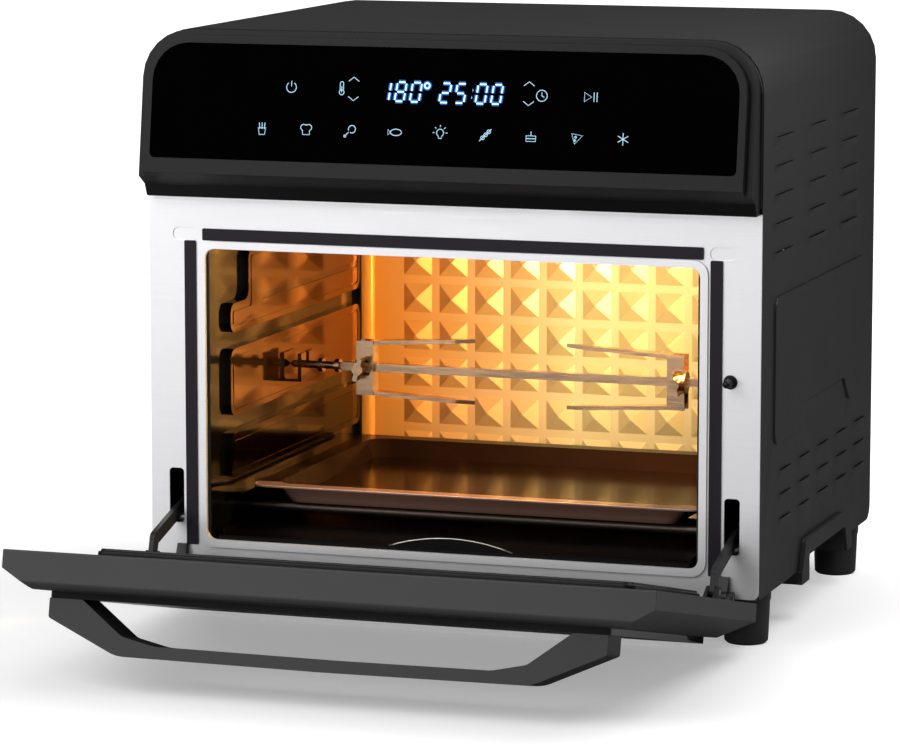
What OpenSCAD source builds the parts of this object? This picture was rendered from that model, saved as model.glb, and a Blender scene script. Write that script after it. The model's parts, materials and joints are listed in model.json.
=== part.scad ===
// Countertop rotisserie oven with a drop-down door, shown with the door open on its stop.
// +X is the user's right, +Y the back, +Z up. The table is at Z = 0.

/* [Cabinet] */
// Width of the outer shell
body_w = 380; // [370:1:400]
// Height of the outer shell, without its feet
body_h = 326; // [322:1:350]
// Depth of the outer shell behind the steel face
body_d = 288; // [286:1:330]
// Thickness of the sheet steel
sheet_t = 1; // [0.8:0.1:1.2]
// Radius of the shell's two upper edges
shell_r = 30; // [24:1:36]
// Height of the feet
foot_h = 31; // [26:1:40]
// Radius of a foot where it meets the base
foot_r = 14.5; // [12:0.5:16]
// How far the feet stand in from the sides
foot_inset = 15; // [15:1:20]
// How far the feet stand in from the front and the back
foot_setback = 31; // [28:1:36]

/* [Face and opening] */
// Thickness of the stainless face
face_t = 1.2; // [1:0.1:1.5]
// Width of the opening
opening_w = 307.6; // [306:0.2:312]
// Lower edge of the opening above the base
opening_z = 16.8; // [16.8:0.1:18]
// Height of the opening
opening_h = 177.2; // [170:0.2:178]
// Width of the raised rim round the opening
rim_w = 4.6; // [3.5:0.1:5]
// How far the rim stands out of the face
rim_proud = 1.5; // [1:0.1:2]
// Width of the gasket strips
gasket_w = 7.2; // [6:0.1:7.5]
// Thickness of the gasket strips
gasket_t = 1.2; // [0.8:0.1:1.6]

/* [Control housing] */
// Height of the housing's lower edge above the base
hood_z = 225.5; // [224.5:0.5:227]
// How far the lip under the glass stands out of the face
lip_proud = 24.3; // [22:0.1:27]
// Height of the lip above the base
lip_z = 241.5; // [240:0.5:244]
// Lean of the control face back from upright, in degrees
face_lean = 8.3; // [6:0.1:10]
// Width of the control glass
glass_w = 360; // [350:1:364]
// Height of the control glass
glass_h = 68.5; // [60:0.5:69]
// Thickness of the control glass
glass_t = 3; // [2:0.5:4]

/* [Cavity] */
// Inner width of the cavity
cavity_w = 304; // [302:0.5:305]
// Depth of the cavity behind the face
cavity_d = 268; // [262:1:269]
// Height of the cavity's ceiling above the base
cavity_top_z = 200; // [198:0.5:202]
// How far the stamped guide panels stand out of the side walls
panel_proud = 4; // [3:0.5:4]
// Spacing of the pyramids stamped in the back wall
pyramid_pitch = 24.5; // [22:0.5:32]
// Height of the stamped pyramids
pyramid_h = 5; // [3:0.5:6]

/* [Door] */
// Height of the door, from its hinge edge to its free edge
door_h = 222; // [216:0.5:222]
// Thickness of the door frame
door_t = 21.4; // [20:0.2:23]
// Thickness of the outer door glass
outer_glass_t = 4; // [3:0.5:4]
// Thickness of the inner door glass
inner_glass_t = 3.2; // [2.5:0.1:3.4]
// Gap between the closed door and the steel face
door_gap = 7; // [7:0.1:8]
// Opening angle of the door at its stop, in degrees
door_open = 77.3; // [70:0.1:78]
// Distance of the hinge axis in front of the face
hinge_out = 4.6; // [4.6:0.1:5]
// Height of the hinge axis above the base
hinge_z = 1.9; // [1.9:0.1:2.5]
// Radius of the hinge pins
pin_r = 1.6; // [1.4:0.1:1.8]
// Width of the handle along the door's height
handle_w = 25; // [20:1:28]
// How far the handle stands out of the outer glass
handle_out = 31; // [26:1:34]
// Thickness of the handle's bar
handle_t = 7; // [6:0.5:9]

/* [Rotisserie] */
// Distance of the spit's axis behind the face
spit_y = 125; // [115:1:135]
// Height of the spit's axis above the base
spit_z = 107.5; // [104:0.5:110]
// Side of the square spit
spit_a = 5; // [4:0.5:6]
// Length of a fork's prongs
prong_l = 68; // [50:1:72]
// Distance of the forks' bars from the middle of the cavity
fork_x = 92; // [85:1:95]

/* [Trays] */
// Width of the baking tray over its rim
tray_w = 288; // [284:1:290]
// Distance of the baking tray's front edge behind the face
tray_y0 = 45; // [40:1:60]
// Length of the baking tray, front to back
tray_l = 207; // [180:1:210]
// Depth of the baking tray
tray_depth = 12; // [10:0.5:12]
// Height of the baking tray's rim above the base
tray_z = 43; // [43:0.5:44]

/* [Hidden] */
$fn = 32;

// Fits and clearances
fit = 0.3;              // between pieces that only lie beside each other
run = 0.05;             // radial play of a turning fit
// Outline helpers
arc_n = 6;              // straight pieces in a rounded corner

half_w = body_w / 2;
inner_half = half_w - sheet_t;

// Face
open_half = opening_w / 2;
open_top = opening_z + opening_h;
open_r = 6;                           // radius of the opening's corners
rim_half = open_half + rim_w;
rim_low = opening_z - rim_w;
rim_top = open_top + rim_w;
strip_x = rim_half + 1.4;             // inner edge of the side strips
strip_low = rim_low + 1;
strip_z = rim_top + fit;              // lower edge of the top strip
slot_w = 9.4;
slot_x = strip_x + gasket_w + 1.9 + slot_w / 2;   // middle of a hinge arm's slot
slot_low = 26;
slot_high = 59.5;
switch_x = slot_x - 1.6;
switch_z = 128;
switch_hole_r = 4.2;
grip_y0 = 111;                        // the fingers' gap in the shell's lower edge
grip_y1 = body_d - 76;
grip_top = 10;
heel_r = 10;                          // radius of the shell's lower rear corners

// Control housing
hood_half = half_w - 1.5;
hood_top = body_h - 0.5;
hood_back = -fit;
ring_w = 4.5;
ring_half = hood_half - ring_w + 0.5;
step_d = 5;                           // depth of the front ring's step
glass_low = 9;                        // lower edge of the glass above the lip, along the face
glass_half = glass_w / 2;
glass_r = 22;

// Cavity
cav_half = cavity_w / 2;
floor_z = opening_z;
panel_half = cav_half - panel_proud;
tray_half = tray_w / 2;
tray_wall = 0.8;
ledge_in = tray_half - 4;             // the tray's rim rests 4 mm on each ledge
ledge_z = tray_z - tray_wall - 0.4;
panel_y0 = 26;
panel_y1 = cavity_d - 8;
// The stamped panels share the wall's height; the runners are the gaps between them
panel_low = 50;
panel_rise = cavity_top_z - 12 - panel_low;
panel_rows = [for (share = [[0, 27], [38, 79], [89, 138]])
    [for (z = share) panel_low + panel_rise * z / 138]];
step_y = 57;                          // the top panel is cut back above its step
step_z = panel_low + panel_rise * 107 / 138;
lower_heater_y = [75, cavity_d - 63];
lower_heater_z = floor_z + 9.2;
lamp_y = cavity_d - 53;
lamp_z = cavity_top_z - 35;
lamp_r = 15;
socket_r = 6.5;
socket_shaft_r = 4;

// Fan chamber
fan_y = cavity_d - 128;
guard_r = 74;
can_r = 88;
can_h = 40;
can_z = cavity_top_z + sheet_t;
fan_r = 56;
shaft_r = 3;
motor_z = can_z + can_h + sheet_t;
motor_h = 34;
heater_r = 3.2;
ring_heater_z = can_z + 12;
ring_heater_r = 70;

// Rotisserie
journal_r = 2.4;
journal_x = -panel_half + 4.4;        // end of the journal, before its point
collar_x = 40 - cav_half;             // outer end of the square part
tip_x = cav_half - 12;                // end of the square tip in its socket
fork_t = 2.4;
fork_span = 34;                       // across the two prongs
hub_r = 7;

// Door, in its own frame when closed: X across, Z up from the hinge edge, -Y outwards
band_t = 10.4;                        // straight part of the door's edge
bevel_w = 18;                         // width of the slope round the door's outer side
door_wall = 3;
carrier_half = half_w - 30;
carrier_low = 12;
carrier_high = door_h - 61;
carrier_t = 5;
win_half = carrier_half - 24;
win_low = carrier_low + 18;
win_high = carrier_high - 15;
plate_half = half_w - 26.5;
plate_low = 12;
plate_high = door_h - 8;
axis_in = door_gap - hinge_out;       // hinge axis inside of the door's inner face
handle_z = plate_high - handle_w;     // lower side of the handle
handle_foot = plate_half - 0.5;
handle_y = door_t + outer_glass_t;
bolt_x = handle_foot - 10;
bolt_z = plate_high - handle_w / 2;
lug_x = slot_x - 4.1;
lug_w = 6.2;
ear_w = 3.4;
arm_ear_w = 2.2;
ear_gap = 0.25;
ear_r = 3.6;

// Hinge arm, drawn in the open position
arm_x = slot_x;
arm_t = 3;
arm_w = 8;
arm_u = 39;                           // pivot's place on the door
arm_in = 4.5;                         // pivot inside of the door's inner face
arm_bend = [-37, 22.5];
roller = [13, 27.5];
roller_r = 4;
hook_w = 5;
hook_l = 8;
// The arm's straight part passes over the roller and ends at the hook behind it
roller_reach = norm(roller - arm_bend);
arm_clear = arm_w / 2 + roller_r + fit;
arm_slope = atan2(roller.y - arm_bend.y, roller.x - arm_bend.x) + asin(arm_clear / roller_reach);
arm_dir = [cos(arm_slope), sin(arm_slope)];
arm_down = [sin(arm_slope), -cos(arm_slope)];
arm_run = sqrt(pow(roller_reach, 2) - pow(arm_clear, 2)) + roller_r + fit + hook_w / 2;
arm_tail = arm_bend + arm_dir * arm_run;

function turn(p, a) = [p.x * cos(a) - p.y * sin(a), p.x * sin(a) + p.y * cos(a)];
hinge_yz = [-hinge_out, hinge_z];
function opened(p) = hinge_yz + turn(p - hinge_yz, door_open);
arm_pivot = opened([arm_in - door_gap, arm_u]);

// The model's origin lies under the middle of its bounding box, door open
front_reach = -opened([-door_gap - handle_y - handle_out, plate_high])[0];
gland_out = 6;
back_reach = body_d + gland_out;
face_y = (front_reach - back_reach) / 2;

function unit(v) = v / norm(v);
// Points of the arc that rounds the corner p between a and b
function corner(a, p, b, r) =
    r <= 0 ? [p] :
    let (u = unit(a - p), v = unit(b - p), half = acos(u * v) / 2,
         c = p + unit(u + v) * r / sin(half),
         s = p + u * r / tan(half) - c, e = p + v * r / tan(half) - c,
         t0 = atan2(s.y, s.x), dt = ((atan2(e.y, e.x) - t0 + 540) % 360) - 180)
    [for (i = [0:arc_n]) c + r * [cos(t0 + dt * i / arc_n), sin(t0 + dt * i / arc_n)]];
// A closed outline with its corners rounded by the radii in r
function rounded(pts, r) =
    let (n = len(pts))
    [for (i = [0:n - 1]) each corner(pts[(i + n - 1) % n], pts[i], pts[(i + 1) % n], is_list(r) ? r[i] : r)];
function box_path(x0, y0, x1, y1) = [[x0, y0], [x1, y0], [x1, y1], [x0, y1]];

module at_body() translate([0, face_y, foot_h]) children();
// Extrudes an (X, Z) outline from y0 to y1
module along_y(y0, y1) translate([0, y1, 0]) rotate([90, 0, 0]) linear_extrude(y1 - y0) children();
// Extrudes a (Y, Z) outline from x0 to x1
module along_x(x0, x1) translate([x0, 0, 0]) rotate([90, 0, 90]) linear_extrude(x1 - x0) children();
module block(a, b) translate(a) cube(b - a);
module rod_x(x0, x1, r) translate([x0, 0, 0]) rotate([0, 90, 0]) cylinder(h = x1 - x0, r = r);
module rod_y(y0, y1, r) translate([0, y0, 0]) rotate([-90, 0, 0]) cylinder(h = y1 - y0, r = r);
module both_sides() {
    children();
    mirror([1, 0, 0]) children();
}
// A slot with round ends, l long and w high
module obround(l, w) {
    square([l - w, w], center = true);
    for (s = [-1, 1]) translate([s * (l - w) / 2, 0]) circle(d = w);
}
// A flat bar with round ends from p to q
module bar(p, q, w) {
    a = atan2(q.y - p.y, q.x - p.x);
    polygon([for (end = [[q, a - 90], [p, a + 90]], i = [0:8])
             end[0] + w / 2 * [cos(end[1] + i * 22.5), sin(end[1] + i * 22.5)]]);
}

// ---- Cabinet ----

// Outline of the shell, inset by d on all sides but the bottom
module shell_outline(d, low = 0) {
    r = shell_r - d;
    polygon(rounded([[-half_w + d, low], [half_w - d, low], [half_w - d, body_h - d], [-half_w + d,
        body_h - d]],
                    [0, 0, r, r]));
}
// Rows and columns of the louvres: length, height, how far they stand out, and their places
vent = [33, 6, 1.5];
vent_rows = [for (i = [0:2]) 34.5 + i * 14.6];
vent_cols = [for (i = [0:4]) 60 + i * (body_d - 96) / 4];
louvre = [50, 5, 1.8];
louvre_z = body_h - 130.5;
louvre_rows = [for (i = [0:4]) louvre_z + i * 16.9];
louvre_cols = [for (i = [0:2]) 51 + i * (body_d - 122) / 2];
lip_t = 0.9;                          // sheet left at a louvre's open edge
// The stamped side panel, which steps up over the middle of its lower edge
emboss_out = 1.2;
emboss_y1 = body_d - 26;
emboss_top = louvre_z - 21.5;
function emboss_path(d) = [
    [31 + d, 87 + d], [90 - d / 2, 87 + d], [104 - d / 2, 103 + d], [emboss_y1 - 56 + d / 2, 103 + d],
    [emboss_y1 - 42 + d / 2, 87 + d], [emboss_y1 - d, 87 + d], [emboss_y1 - d, emboss_top - d],
        [31 + d, emboss_top - d]
];

// A louvre lanced out of the side sheet, tapered at both ends and open along its upper edge
module lanced(size) {
    taper = size.z / tan(10);
    reach = size.x / 2;
    intersection() {
        along_y(-reach, reach)
            polygon([[half_w - sheet_t / 2, 0], [half_w, 0], [half_w + size.z, size.y],
                     [half_w - sheet_t / 2, size.y]]);
        linear_extrude(size.y)
            polygon([[half_w - sheet_t, -reach], [half_w, -reach], [half_w + size.z, taper - reach],
                     [half_w + size.z, reach - taper], [half_w, reach], [half_w - sheet_t, reach]]);
    }
}
module lanced_gap(size) {
    taper = size.z / tan(10);
    along_y(taper * 0.7 - size.x / 2, size.x / 2 - taper * 0.7)
        polygon([[half_w - 5, 1.2], [half_w - 0.3, 1.2], [half_w + size.z - lip_t, size.y + 0.1],
                 [half_w - 5, size.y + 0.1]]);
}
module side_features() {
    along_x(half_w - sheet_t / 2, half_w + emboss_out) polygon(rounded(emboss_path(0), 7));
    for (y = louvre_cols, z = louvre_rows) translate([0, y, z]) lanced(louvre);
    for (y = vent_cols, z = vent_rows) translate([0, y, z]) lanced(vent);
}
module side_cuts() {
    along_x(half_w - 5, half_w + emboss_out - sheet_t) polygon(rounded(emboss_path(1.5), 6));
    for (y = louvre_cols, z = louvre_rows) translate([0, y, z]) lanced_gap(louvre);
    for (y = vent_cols, z = vent_rows) translate([0, y, z]) lanced_gap(vent);
    block([half_w - 5, grip_y0, -1], [half_w + 1, grip_y1, grip_top]);
}
// What the rounded lower rear corner takes away
module heel_cut() along_x(-half_w - 5, half_w + 5) translate([body_d - heel_r, heel_r]) difference() {
    translate([0, -heel_r - 2]) square(heel_r + 2);
    circle(heel_r);
}
module outer_shell() {
    color([0.16, 0.16, 0.17]) at_body() difference() {
        union() {
            along_y(face_t + fit, body_d) shell_outline(0);
            both_sides() side_features();
        }
        along_y(-1, body_d + 1) shell_outline(sheet_t, low = -1);
        both_sides() side_cuts();
        heel_cut();
    }
}

cover_y = body_d - 1 - sheet_t;       // front of the rear cover, which lies a little inside the shell's edge
gland_x = 40 - half_w;
gland_z = 48;
gland_r = 7;
screw_places = [for (x = [15 - half_w, 0, half_w - 15], z = [14, body_h - 20]) [x, z],
                for (x = [10 - half_w, half_w - 10]) [x, 160]];
module rear_cover() {
    color([0.2, 0.2, 0.21]) at_body() difference() {
        union() {
            along_y(cover_y, body_d - 1) shell_outline(sheet_t + fit, low = heel_r);
            // lower edge, bent forward round the shell's corner
            along_x(fit - inner_half, inner_half - fit) translate([body_d - heel_r, heel_r]) intersection() {
                difference() {
                    circle(heel_r - 1);
                    circle(heel_r - 1 - sheet_t);
                }
                translate([0, -heel_r]) square([heel_r, heel_r + 0.1]);
            }
        }
        for (x = [-100:40:100], z = [body_h - 111:14:body_h - 27]) translate([x, 0, z])
            along_y(body_d - 5, body_d) obround(30, 5);
        for (x = [-100:40:100], z = [30:14:72]) translate([x, 0, z])
            along_y(body_d - 5, body_d) obround(30, 5);
        translate([gland_x, 0, gland_z]) rod_y(body_d - 5, body_d, gland_r + fit / 2);
        for (p = screw_places) translate([p.x, 0, p.y]) rod_y(body_d - 5, body_d, 1.7);
    }
}

module cover_screws() {
    color([0.6, 0.6, 0.62]) at_body() for (p = screw_places) translate([p.x, 0, p.y]) {
        rod_y(body_d - 9, body_d - 1, 1.5);
        translate([0, body_d - 1, 0]) rotate([-90, 0, 0]) cylinder(h = 1.8, r1 = 3.4, r2 = 2.4);
    }
}

module cord_gland() {
    color([0.1, 0.1, 0.1]) at_body() translate([gland_x, 0, gland_z]) difference() {
        union() {
            rod_y(body_d - 8, body_d + gland_out, gland_r);
            rod_y(body_d - 1, body_d + 1.5, gland_r + 2.5);
            rod_y(body_d - 8, body_d - sheet_t - 1, gland_r + 1.5);
        }
        rod_y(body_d - 9, body_d + gland_out + 1, 3.6);
    }
}

module base_plate() {
    color([0.55, 0.55, 0.57]) at_body() difference() {
        block([-inner_half + fit, face_t + fit, 0], [inner_half - fit, body_d - heel_r - fit, sheet_t]);
        both_sides() block([grip_back - sheet_t - fit, grip_y0, -1], [half_w, grip_y1, 2]);
        for (x = [-90:30:90], y = [70, 110, 150, 190]) translate([x, y, -1]) linear_extrude(3) obround(20, 5);
    }
}

module foot() {
    translate([0, 0, -foot_h]) rotate_extrude()
        polygon([[0, 0], [foot_r - 3, 0], [foot_r - 1.5, 1.5], [foot_r - 0.6, foot_h - 6],
                 [foot_r, foot_h - 4], [foot_r, foot_h], [0, foot_h]]);
}
module feet(y) color([0.25, 0.25, 0.26]) at_body()
    for (s = [-1, 1]) translate([s * (half_w - foot_inset), y, 0]) foot();
module front_feet() feet(foot_setback);
module rear_feet() feet(body_d - foot_setback);

grip_back = half_w - 18;              // X of the wall behind the fingers
grip_out = 3;
grip_low = -8;
grip_wall = 1.5;
module side_handle() {
    frame_path = [[grip_y0 - 18, grip_low], [grip_y0 - 6.4, 18.5], [grip_y1 - 9, 18.5], [grip_y1 + 8, 11],
                  [grip_y1 + 15, grip_low], [grip_y1 + 1, grip_low], [grip_y1 - 5, 8.5], [grip_y0 + 2, 8.5],
                  [grip_y0 + 2.5, grip_low]];
    along_x(half_w + 0.3, half_w + grip_out) polygon(rounded(frame_path, [1, 5, 8, 6, 1, 1, 3, 3, 1]));
    // legs under the base
    block([grip_back - sheet_t, grip_y0 - 16, grip_low], [half_w + grip_out, grip_y0 + 2.5, -fit]);
    block([grip_back - sheet_t, grip_y1 + 1, grip_low], [half_w + grip_out, grip_y1 + 13, -fit]);
    // the cup behind the fingers: ceiling, back, front and rear
    block([grip_back, grip_y0 + fit, grip_top - 1.8], [half_w + 1, grip_y1 - fit, grip_top - fit]);
    block([grip_back, grip_y0 + fit, grip_low], [grip_back + grip_wall, grip_y1 - fit, grip_top - fit]);
    block([grip_back, grip_y0 + fit, grip_low], [half_w + 1, grip_y0 + 2.5, grip_top - fit]);
    block([grip_back, grip_y1 - 2.5, grip_low], [half_w + 1, grip_y1 - fit, grip_top - fit]);
}
module side_handle_right() color([0.35, 0.35, 0.36]) at_body() side_handle();
module side_handle_left() color([0.35, 0.35, 0.36]) at_body() mirror([1, 0, 0]) side_handle();

// ---- Face ----

module rim_path(d, r) polygon(rounded(box_path(-open_half - d, opening_z - d, open_half + d,
    open_top + d), r));
module front_frame() {
    color([0.85, 0.85, 0.87]) at_body() {
        difference() {
            union() {
                along_y(0, face_t) polygon(rounded([[-half_w, fit], [half_w, fit], [half_w, hood_z + 0.5],
                    [half_w - 6, hood_z + 0.5], [half_w - 6, body_h - 5], [6 - half_w, body_h - 5],
                    [6 - half_w, hood_z + 0.5], [-half_w, hood_z + 0.5]], [4, 4, 0, 0, 26, 26, 0, 0]));
                along_y(-rim_proud, 0.2) rim_path(rim_w, 9);
                // side returns inside the shell
                both_sides() block([inner_half - fit - face_t, 0.5, 2], [inner_half - fit, 12, hood_z - 4]);
            }
            along_y(-5, 5) rim_path(0, open_r);
            along_y(-5, 5) polygon(box_path(25 - half_w, hood_z + 7, half_w - 25, body_h - 14));
            both_sides() {
                along_y(-1, 5)
                    polygon(rounded(box_path(slot_x - slot_w / 2, slot_low, slot_x + slot_w / 2,
                        slot_high), 2.4));
                // pressed pocket beyond the end of the top strip
                translate([strip_x + 7.2, 0, strip_z + gasket_w / 2]) along_y(-1, 0.6) obround(15.4, 7.6);
            }
            translate([switch_x, 0, switch_z]) rod_y(-1, 5, switch_hole_r);
        }
    }
}
module gasket(x0, z0, x1, z1) color([0.15, 0.13, 0.16]) at_body()
    along_y(-gasket_t, 0) polygon(rounded(box_path(x0, z0, x1, z1), 0.8));
module gasket_top() gasket(-strip_x + 4.4, strip_z, strip_x - 4.4, strip_z + gasket_w);
module gasket_left() gasket(-strip_x - gasket_w, strip_low, -strip_x, strip_z - fit);
module gasket_right() gasket(strip_x, strip_low, strip_x + gasket_w, strip_z - fit);

// ---- Control housing ----

// Y of the sloping control face at height z
function face_at(z) = -lip_proud + (z - lip_z) * tan(face_lean);
// Places children on the sloping face: Z runs up it from the lip, -Y out of it
module on_face() translate([0, -lip_proud, lip_z]) rotate([-face_lean, 0, 0]) children();
hood_side = [[hood_back, hood_z], [-7, hood_z], [-10.5, hood_z + 7.5], [-lip_proud, lip_z],
             [face_at(hood_top - 3), hood_top - 3], [face_at(hood_top) + 3, hood_top], [hood_back, hood_top]];
hood_well = [[1, hood_z + 13], [-17, hood_z + 20],
             [-17 + (hood_top - 12 - hood_z - 20) * tan(face_lean), hood_top - 12], [1, hood_top - 12]];
module hood_outline(d) polygon(rounded([[-hood_half + d, hood_z - 1], [hood_half - d, hood_z - 1],
    [hood_half - d, hood_top - d], [-hood_half + d, hood_top - d]], [2, 2, shell_r - 2 - d / 2,
        shell_r - 2 - d / 2]));
module glass_path(d)
    polygon(rounded(box_path(-glass_half - d, glass_low - d, glass_half + d, glass_low + glass_h + d),
                    [3 + d, 3 + d, glass_r + d, glass_r + d]));
module hood() {
    color([0.13, 0.13, 0.14]) at_body() difference() {
        intersection() {
            along_x(-hood_half, hood_half) polygon(hood_side);
            along_y(-40, 1) hood_outline(0);
            on_face() {
                along_y(-2, step_d)
                    polygon(rounded(box_path(-ring_half, -20, ring_half, glass_low + glass_h + ring_w),
                                    [2, 2, glass_r + ring_w, glass_r + ring_w]));
                along_y(step_d, 60) polygon(box_path(-half_w - 10, -60, half_w + 10, body_h - hood_z + 20));
            }
        }
        along_x(-hood_half + 10, hood_half - 10) polygon(hood_well);
        on_face() along_y(-3, glass_t + 0.2) glass_path(fit / 2);
        on_face() along_y(-3, 20)
            polygon(rounded(box_path(30 - glass_half, glass_low + 8, glass_half - 30,
                glass_low + glass_h - 8), 4));
    }
}
module control_glass() {
    color([0.02, 0.02, 0.025]) at_body() on_face() along_y(0, glass_t) glass_path(-fit / 2);
}
module control_board() {
    color([0.1, 0.3, 0.15]) at_body() on_face() {
        along_y(glass_t + fit, glass_t + 4) polygon(box_path(-32, glass_low + 40, 70, glass_low + 60));
        along_y(glass_t + 4, glass_t + 5.6)
            polygon(box_path(34 - glass_half, glass_low + 9, glass_half - 34, glass_low + glass_h - 9));
    }
}

// ---- Cavity ----

// Outline of a stamped guide panel; the topmost is cut back at its front
function panel_outline(row, d) =
    let (z0 = panel_rows[row][0] + d, z1 = panel_rows[row][1] - d, y0 = panel_y0 + d, y1 = panel_y1 - d)
    row < 2 ? rounded([[y0, z0], [y1, z0], [y1, z1], [y0, z1]], 7 - d)
            : rounded([[y0, z0], [y1, z0], [y1, z1], [step_y + d, z1], [step_y + d, step_z - d], [y0,
                step_z - d]],
                      7 - d);
module cavity_side(right) {
    difference() {
        union() {
            along_x(cav_half, cav_half + sheet_t)
                polygon(box_path(face_t + fit, floor_z, cavity_d, cavity_top_z - 0.2));
            for (row = [0:2]) along_x(panel_half, cav_half + 0.5) polygon(panel_outline(row, 0));
        }
        for (row = [0:2]) along_x(panel_half + sheet_t, cav_half + 5) polygon(panel_outline(row, sheet_t));
        // line pressed round inside each panel's edge
        for (row = [0:2]) along_x(panel_half - 1, panel_half + 0.5) difference() {
            polygon(panel_outline(row, 3.5));
            polygon(panel_outline(row, 5));
        }
        // groove pressed in the top panel
        along_x(panel_half - 1, panel_half + 0.6) translate([(76 + panel_y1) / 2, step_z - 1.5])
            obround(panel_y1 - 84, 4);
        for (y = lower_heater_y) translate([0, y, lower_heater_z]) rod_x(cav_half - 20, cav_half + 5,
            heater_r + fit);
        if (right) {
            translate([0, lamp_y, lamp_z]) rod_x(cav_half - 20, cav_half + 5, lamp_r + 0.2);
            translate([0, spit_y, spit_z]) rod_x(cav_half - 20, cav_half + 5, socket_r + 0.6);
        } else {
            for (z = [-7, 7]) translate([0, spit_y, spit_z + z]) rod_x(cav_half - 20, cav_half + 5, 1.6);
        }
    }
}
module cavity_right() color([0.6, 0.55, 0.5]) at_body() cavity_side(true);
module cavity_left() color([0.6, 0.55, 0.5]) at_body() mirror([1, 0, 0]) cavity_side(false);
// Angle strips along the side walls, under the tray's rim
module tray_ledges() {
    color([0.55, 0.5, 0.46]) at_body() both_sides() {
        block([ledge_in, panel_y0, ledge_z - sheet_t], [cav_half - 0.1, panel_y1, ledge_z]);
        block([cav_half - 0.1 - sheet_t, panel_y0, ledge_z - 6], [cav_half - 0.1, panel_y1, ledge_z]);
    }
}

bead_r = 5.6;                         // half the width of a corner bead
bead_h = 3.4;
pyramid_gap = 4.5;
// A four-sided point that stands out towards the front
module pyramid(a, h) rotate([90, 0, 0]) rotate(45) cylinder(h = h, r1 = a / sqrt(2), r2 = 0.8, $fn = 4);
module cavity_back() {
    cols = floor((2 * cav_half - 50) / pyramid_pitch);
    rows = floor((cavity_top_z - floor_z - 10) / pyramid_pitch);
    mid_z = (cavity_top_z + floor_z) / 2;
    color([0.65, 0.6, 0.55]) at_body() union() {
        // upright beads in the rear corners
        both_sides() translate([cav_half - bead_r - fit, cavity_d + 0.3, floor_z + fit])
            linear_extrude(cavity_top_z - floor_z - 2 * fit) intersection() {
                scale([1, bead_h / bead_r]) circle(bead_r);
                translate([-bead_r, -bead_h]) square([2 * bead_r, bead_h]);
            }
        block([-cav_half - sheet_t, cavity_d + 0.1, floor_z - sheet_t],
              [cav_half + sheet_t, cavity_d + 0.1 + sheet_t, cavity_top_z + sheet_t]);
        for (i = [0:cols - 1], j = [0:rows - 1])
            translate([(i - (cols - 1) / 2) * pyramid_pitch, cavity_d + 0.3,
                       mid_z + (j - (rows - 1) / 2) * pyramid_pitch])
                pyramid(pyramid_pitch - pyramid_gap, pyramid_h);
    }
}
module cavity_ceiling() {
    color([0.6, 0.55, 0.5]) at_body() difference() {
        block([-cav_half - sheet_t, face_t + fit, cavity_top_z],
              [cav_half + sheet_t, cavity_d, cavity_top_z + sheet_t]);
        translate([0, fan_y, cavity_top_z - 1]) cylinder(h = 4, r = guard_r - 6);
    }
}
module cavity_floor() {
    color([0.5, 0.45, 0.42]) at_body() union() {
        block([-cav_half - sheet_t, face_t + fit, floor_z - sheet_t], [cav_half + sheet_t, cavity_d,
            floor_z]);
        // folded stiffener down to the base
        for (y = [40, cavity_d - 30])
            block([-cav_half, y, sheet_t], [cav_half, y + sheet_t, floor_z - sheet_t / 2]);
    }
}
module fan_guard() {
    color([0.6, 0.55, 0.5]) at_body() translate([0, fan_y, cavity_top_z - 1.2]) difference() {
        cylinder(h = 1.2, r = guard_r);
        for (ring = [1:4], k = [0:ring * 6 - 1]) rotate(k * 60 / ring) translate([ring * 14, 0, -1])
            cylinder(h = 4, r = 4.4, $fn = 16);
        translate([0, 0, -1]) cylinder(h = 4, r = 4.4);
    }
}
module fan_housing() {
    color([0.7, 0.7, 0.72]) at_body() translate([0, fan_y, can_z]) difference() {
        union() {
            cylinder(h = can_h + sheet_t, r = can_r);
            cylinder(h = sheet_t, r = can_r + 8);
        }
        translate([0, 0, -1]) cylinder(h = can_h + 1, r = can_r - sheet_t);
        cylinder(h = can_h + 5, r = shaft_r + 1);
        for (s = [-1, 1]) translate([s * 10, 0, ring_heater_z - can_z]) rod_y(0, can_r + 5, heater_r + fit);
    }
}
module ring_heater() {
    color([0.45, 0.42, 0.4]) at_body() translate([0, fan_y, ring_heater_z]) {
        difference() {
            rotate_extrude() translate([ring_heater_r, 0]) circle(heater_r, $fn = 16);
            translate([-10, ring_heater_r - 10, -10]) cube([20, 20, 20]);
        }
        // straight tails out through the can
        for (s = [-1, 1]) translate([s * 10, 0, 0]) rod_y(ring_heater_r - 4, ring_heater_r + 30, heater_r);
    }
}
module lower_heaters() {
    color([0.35, 0.33, 0.32]) at_body() for (y = lower_heater_y) translate([0, y, lower_heater_z]) {
        rod_x(-cav_half - 12, cav_half + 12, heater_r);
        both_sides() rod_x(cav_half + sheet_t + fit, cav_half + 8, heater_r + 2.5);
    }
}
module convection_fan() {
    color([0.75, 0.75, 0.77]) at_body() translate([0, fan_y, 0]) {
        // impeller, on the shaft that also carries the motor's cooling fan
        translate([0, 0, can_z + 8]) cylinder(h = 1.2, r = fan_r);
        for (k = [0:11]) rotate(k * 30) translate([fan_r * 0.45, -0.6, can_z + 8.6]) rotate([0, 0, 20])
            cube([fan_r * 0.5, 1.2, 18]);
        translate([0, 0, can_z + 6]) cylinder(h = 14, r = 7);
        translate([0, 0, can_z + 6]) cylinder(h = motor_z - can_z + motor_h + 10, r = shaft_r);
        translate([0, 0, motor_z + motor_h + 4]) {
            cylinder(h = 9, r = 6);
            for (k = [0:6]) rotate(k * 360 / 7) translate([4, 0, 4.5]) rotate([35, 0, 0])
                block([0, -0.6, -4], [34, 0.6, 4]);
        }
    }
}
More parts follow.
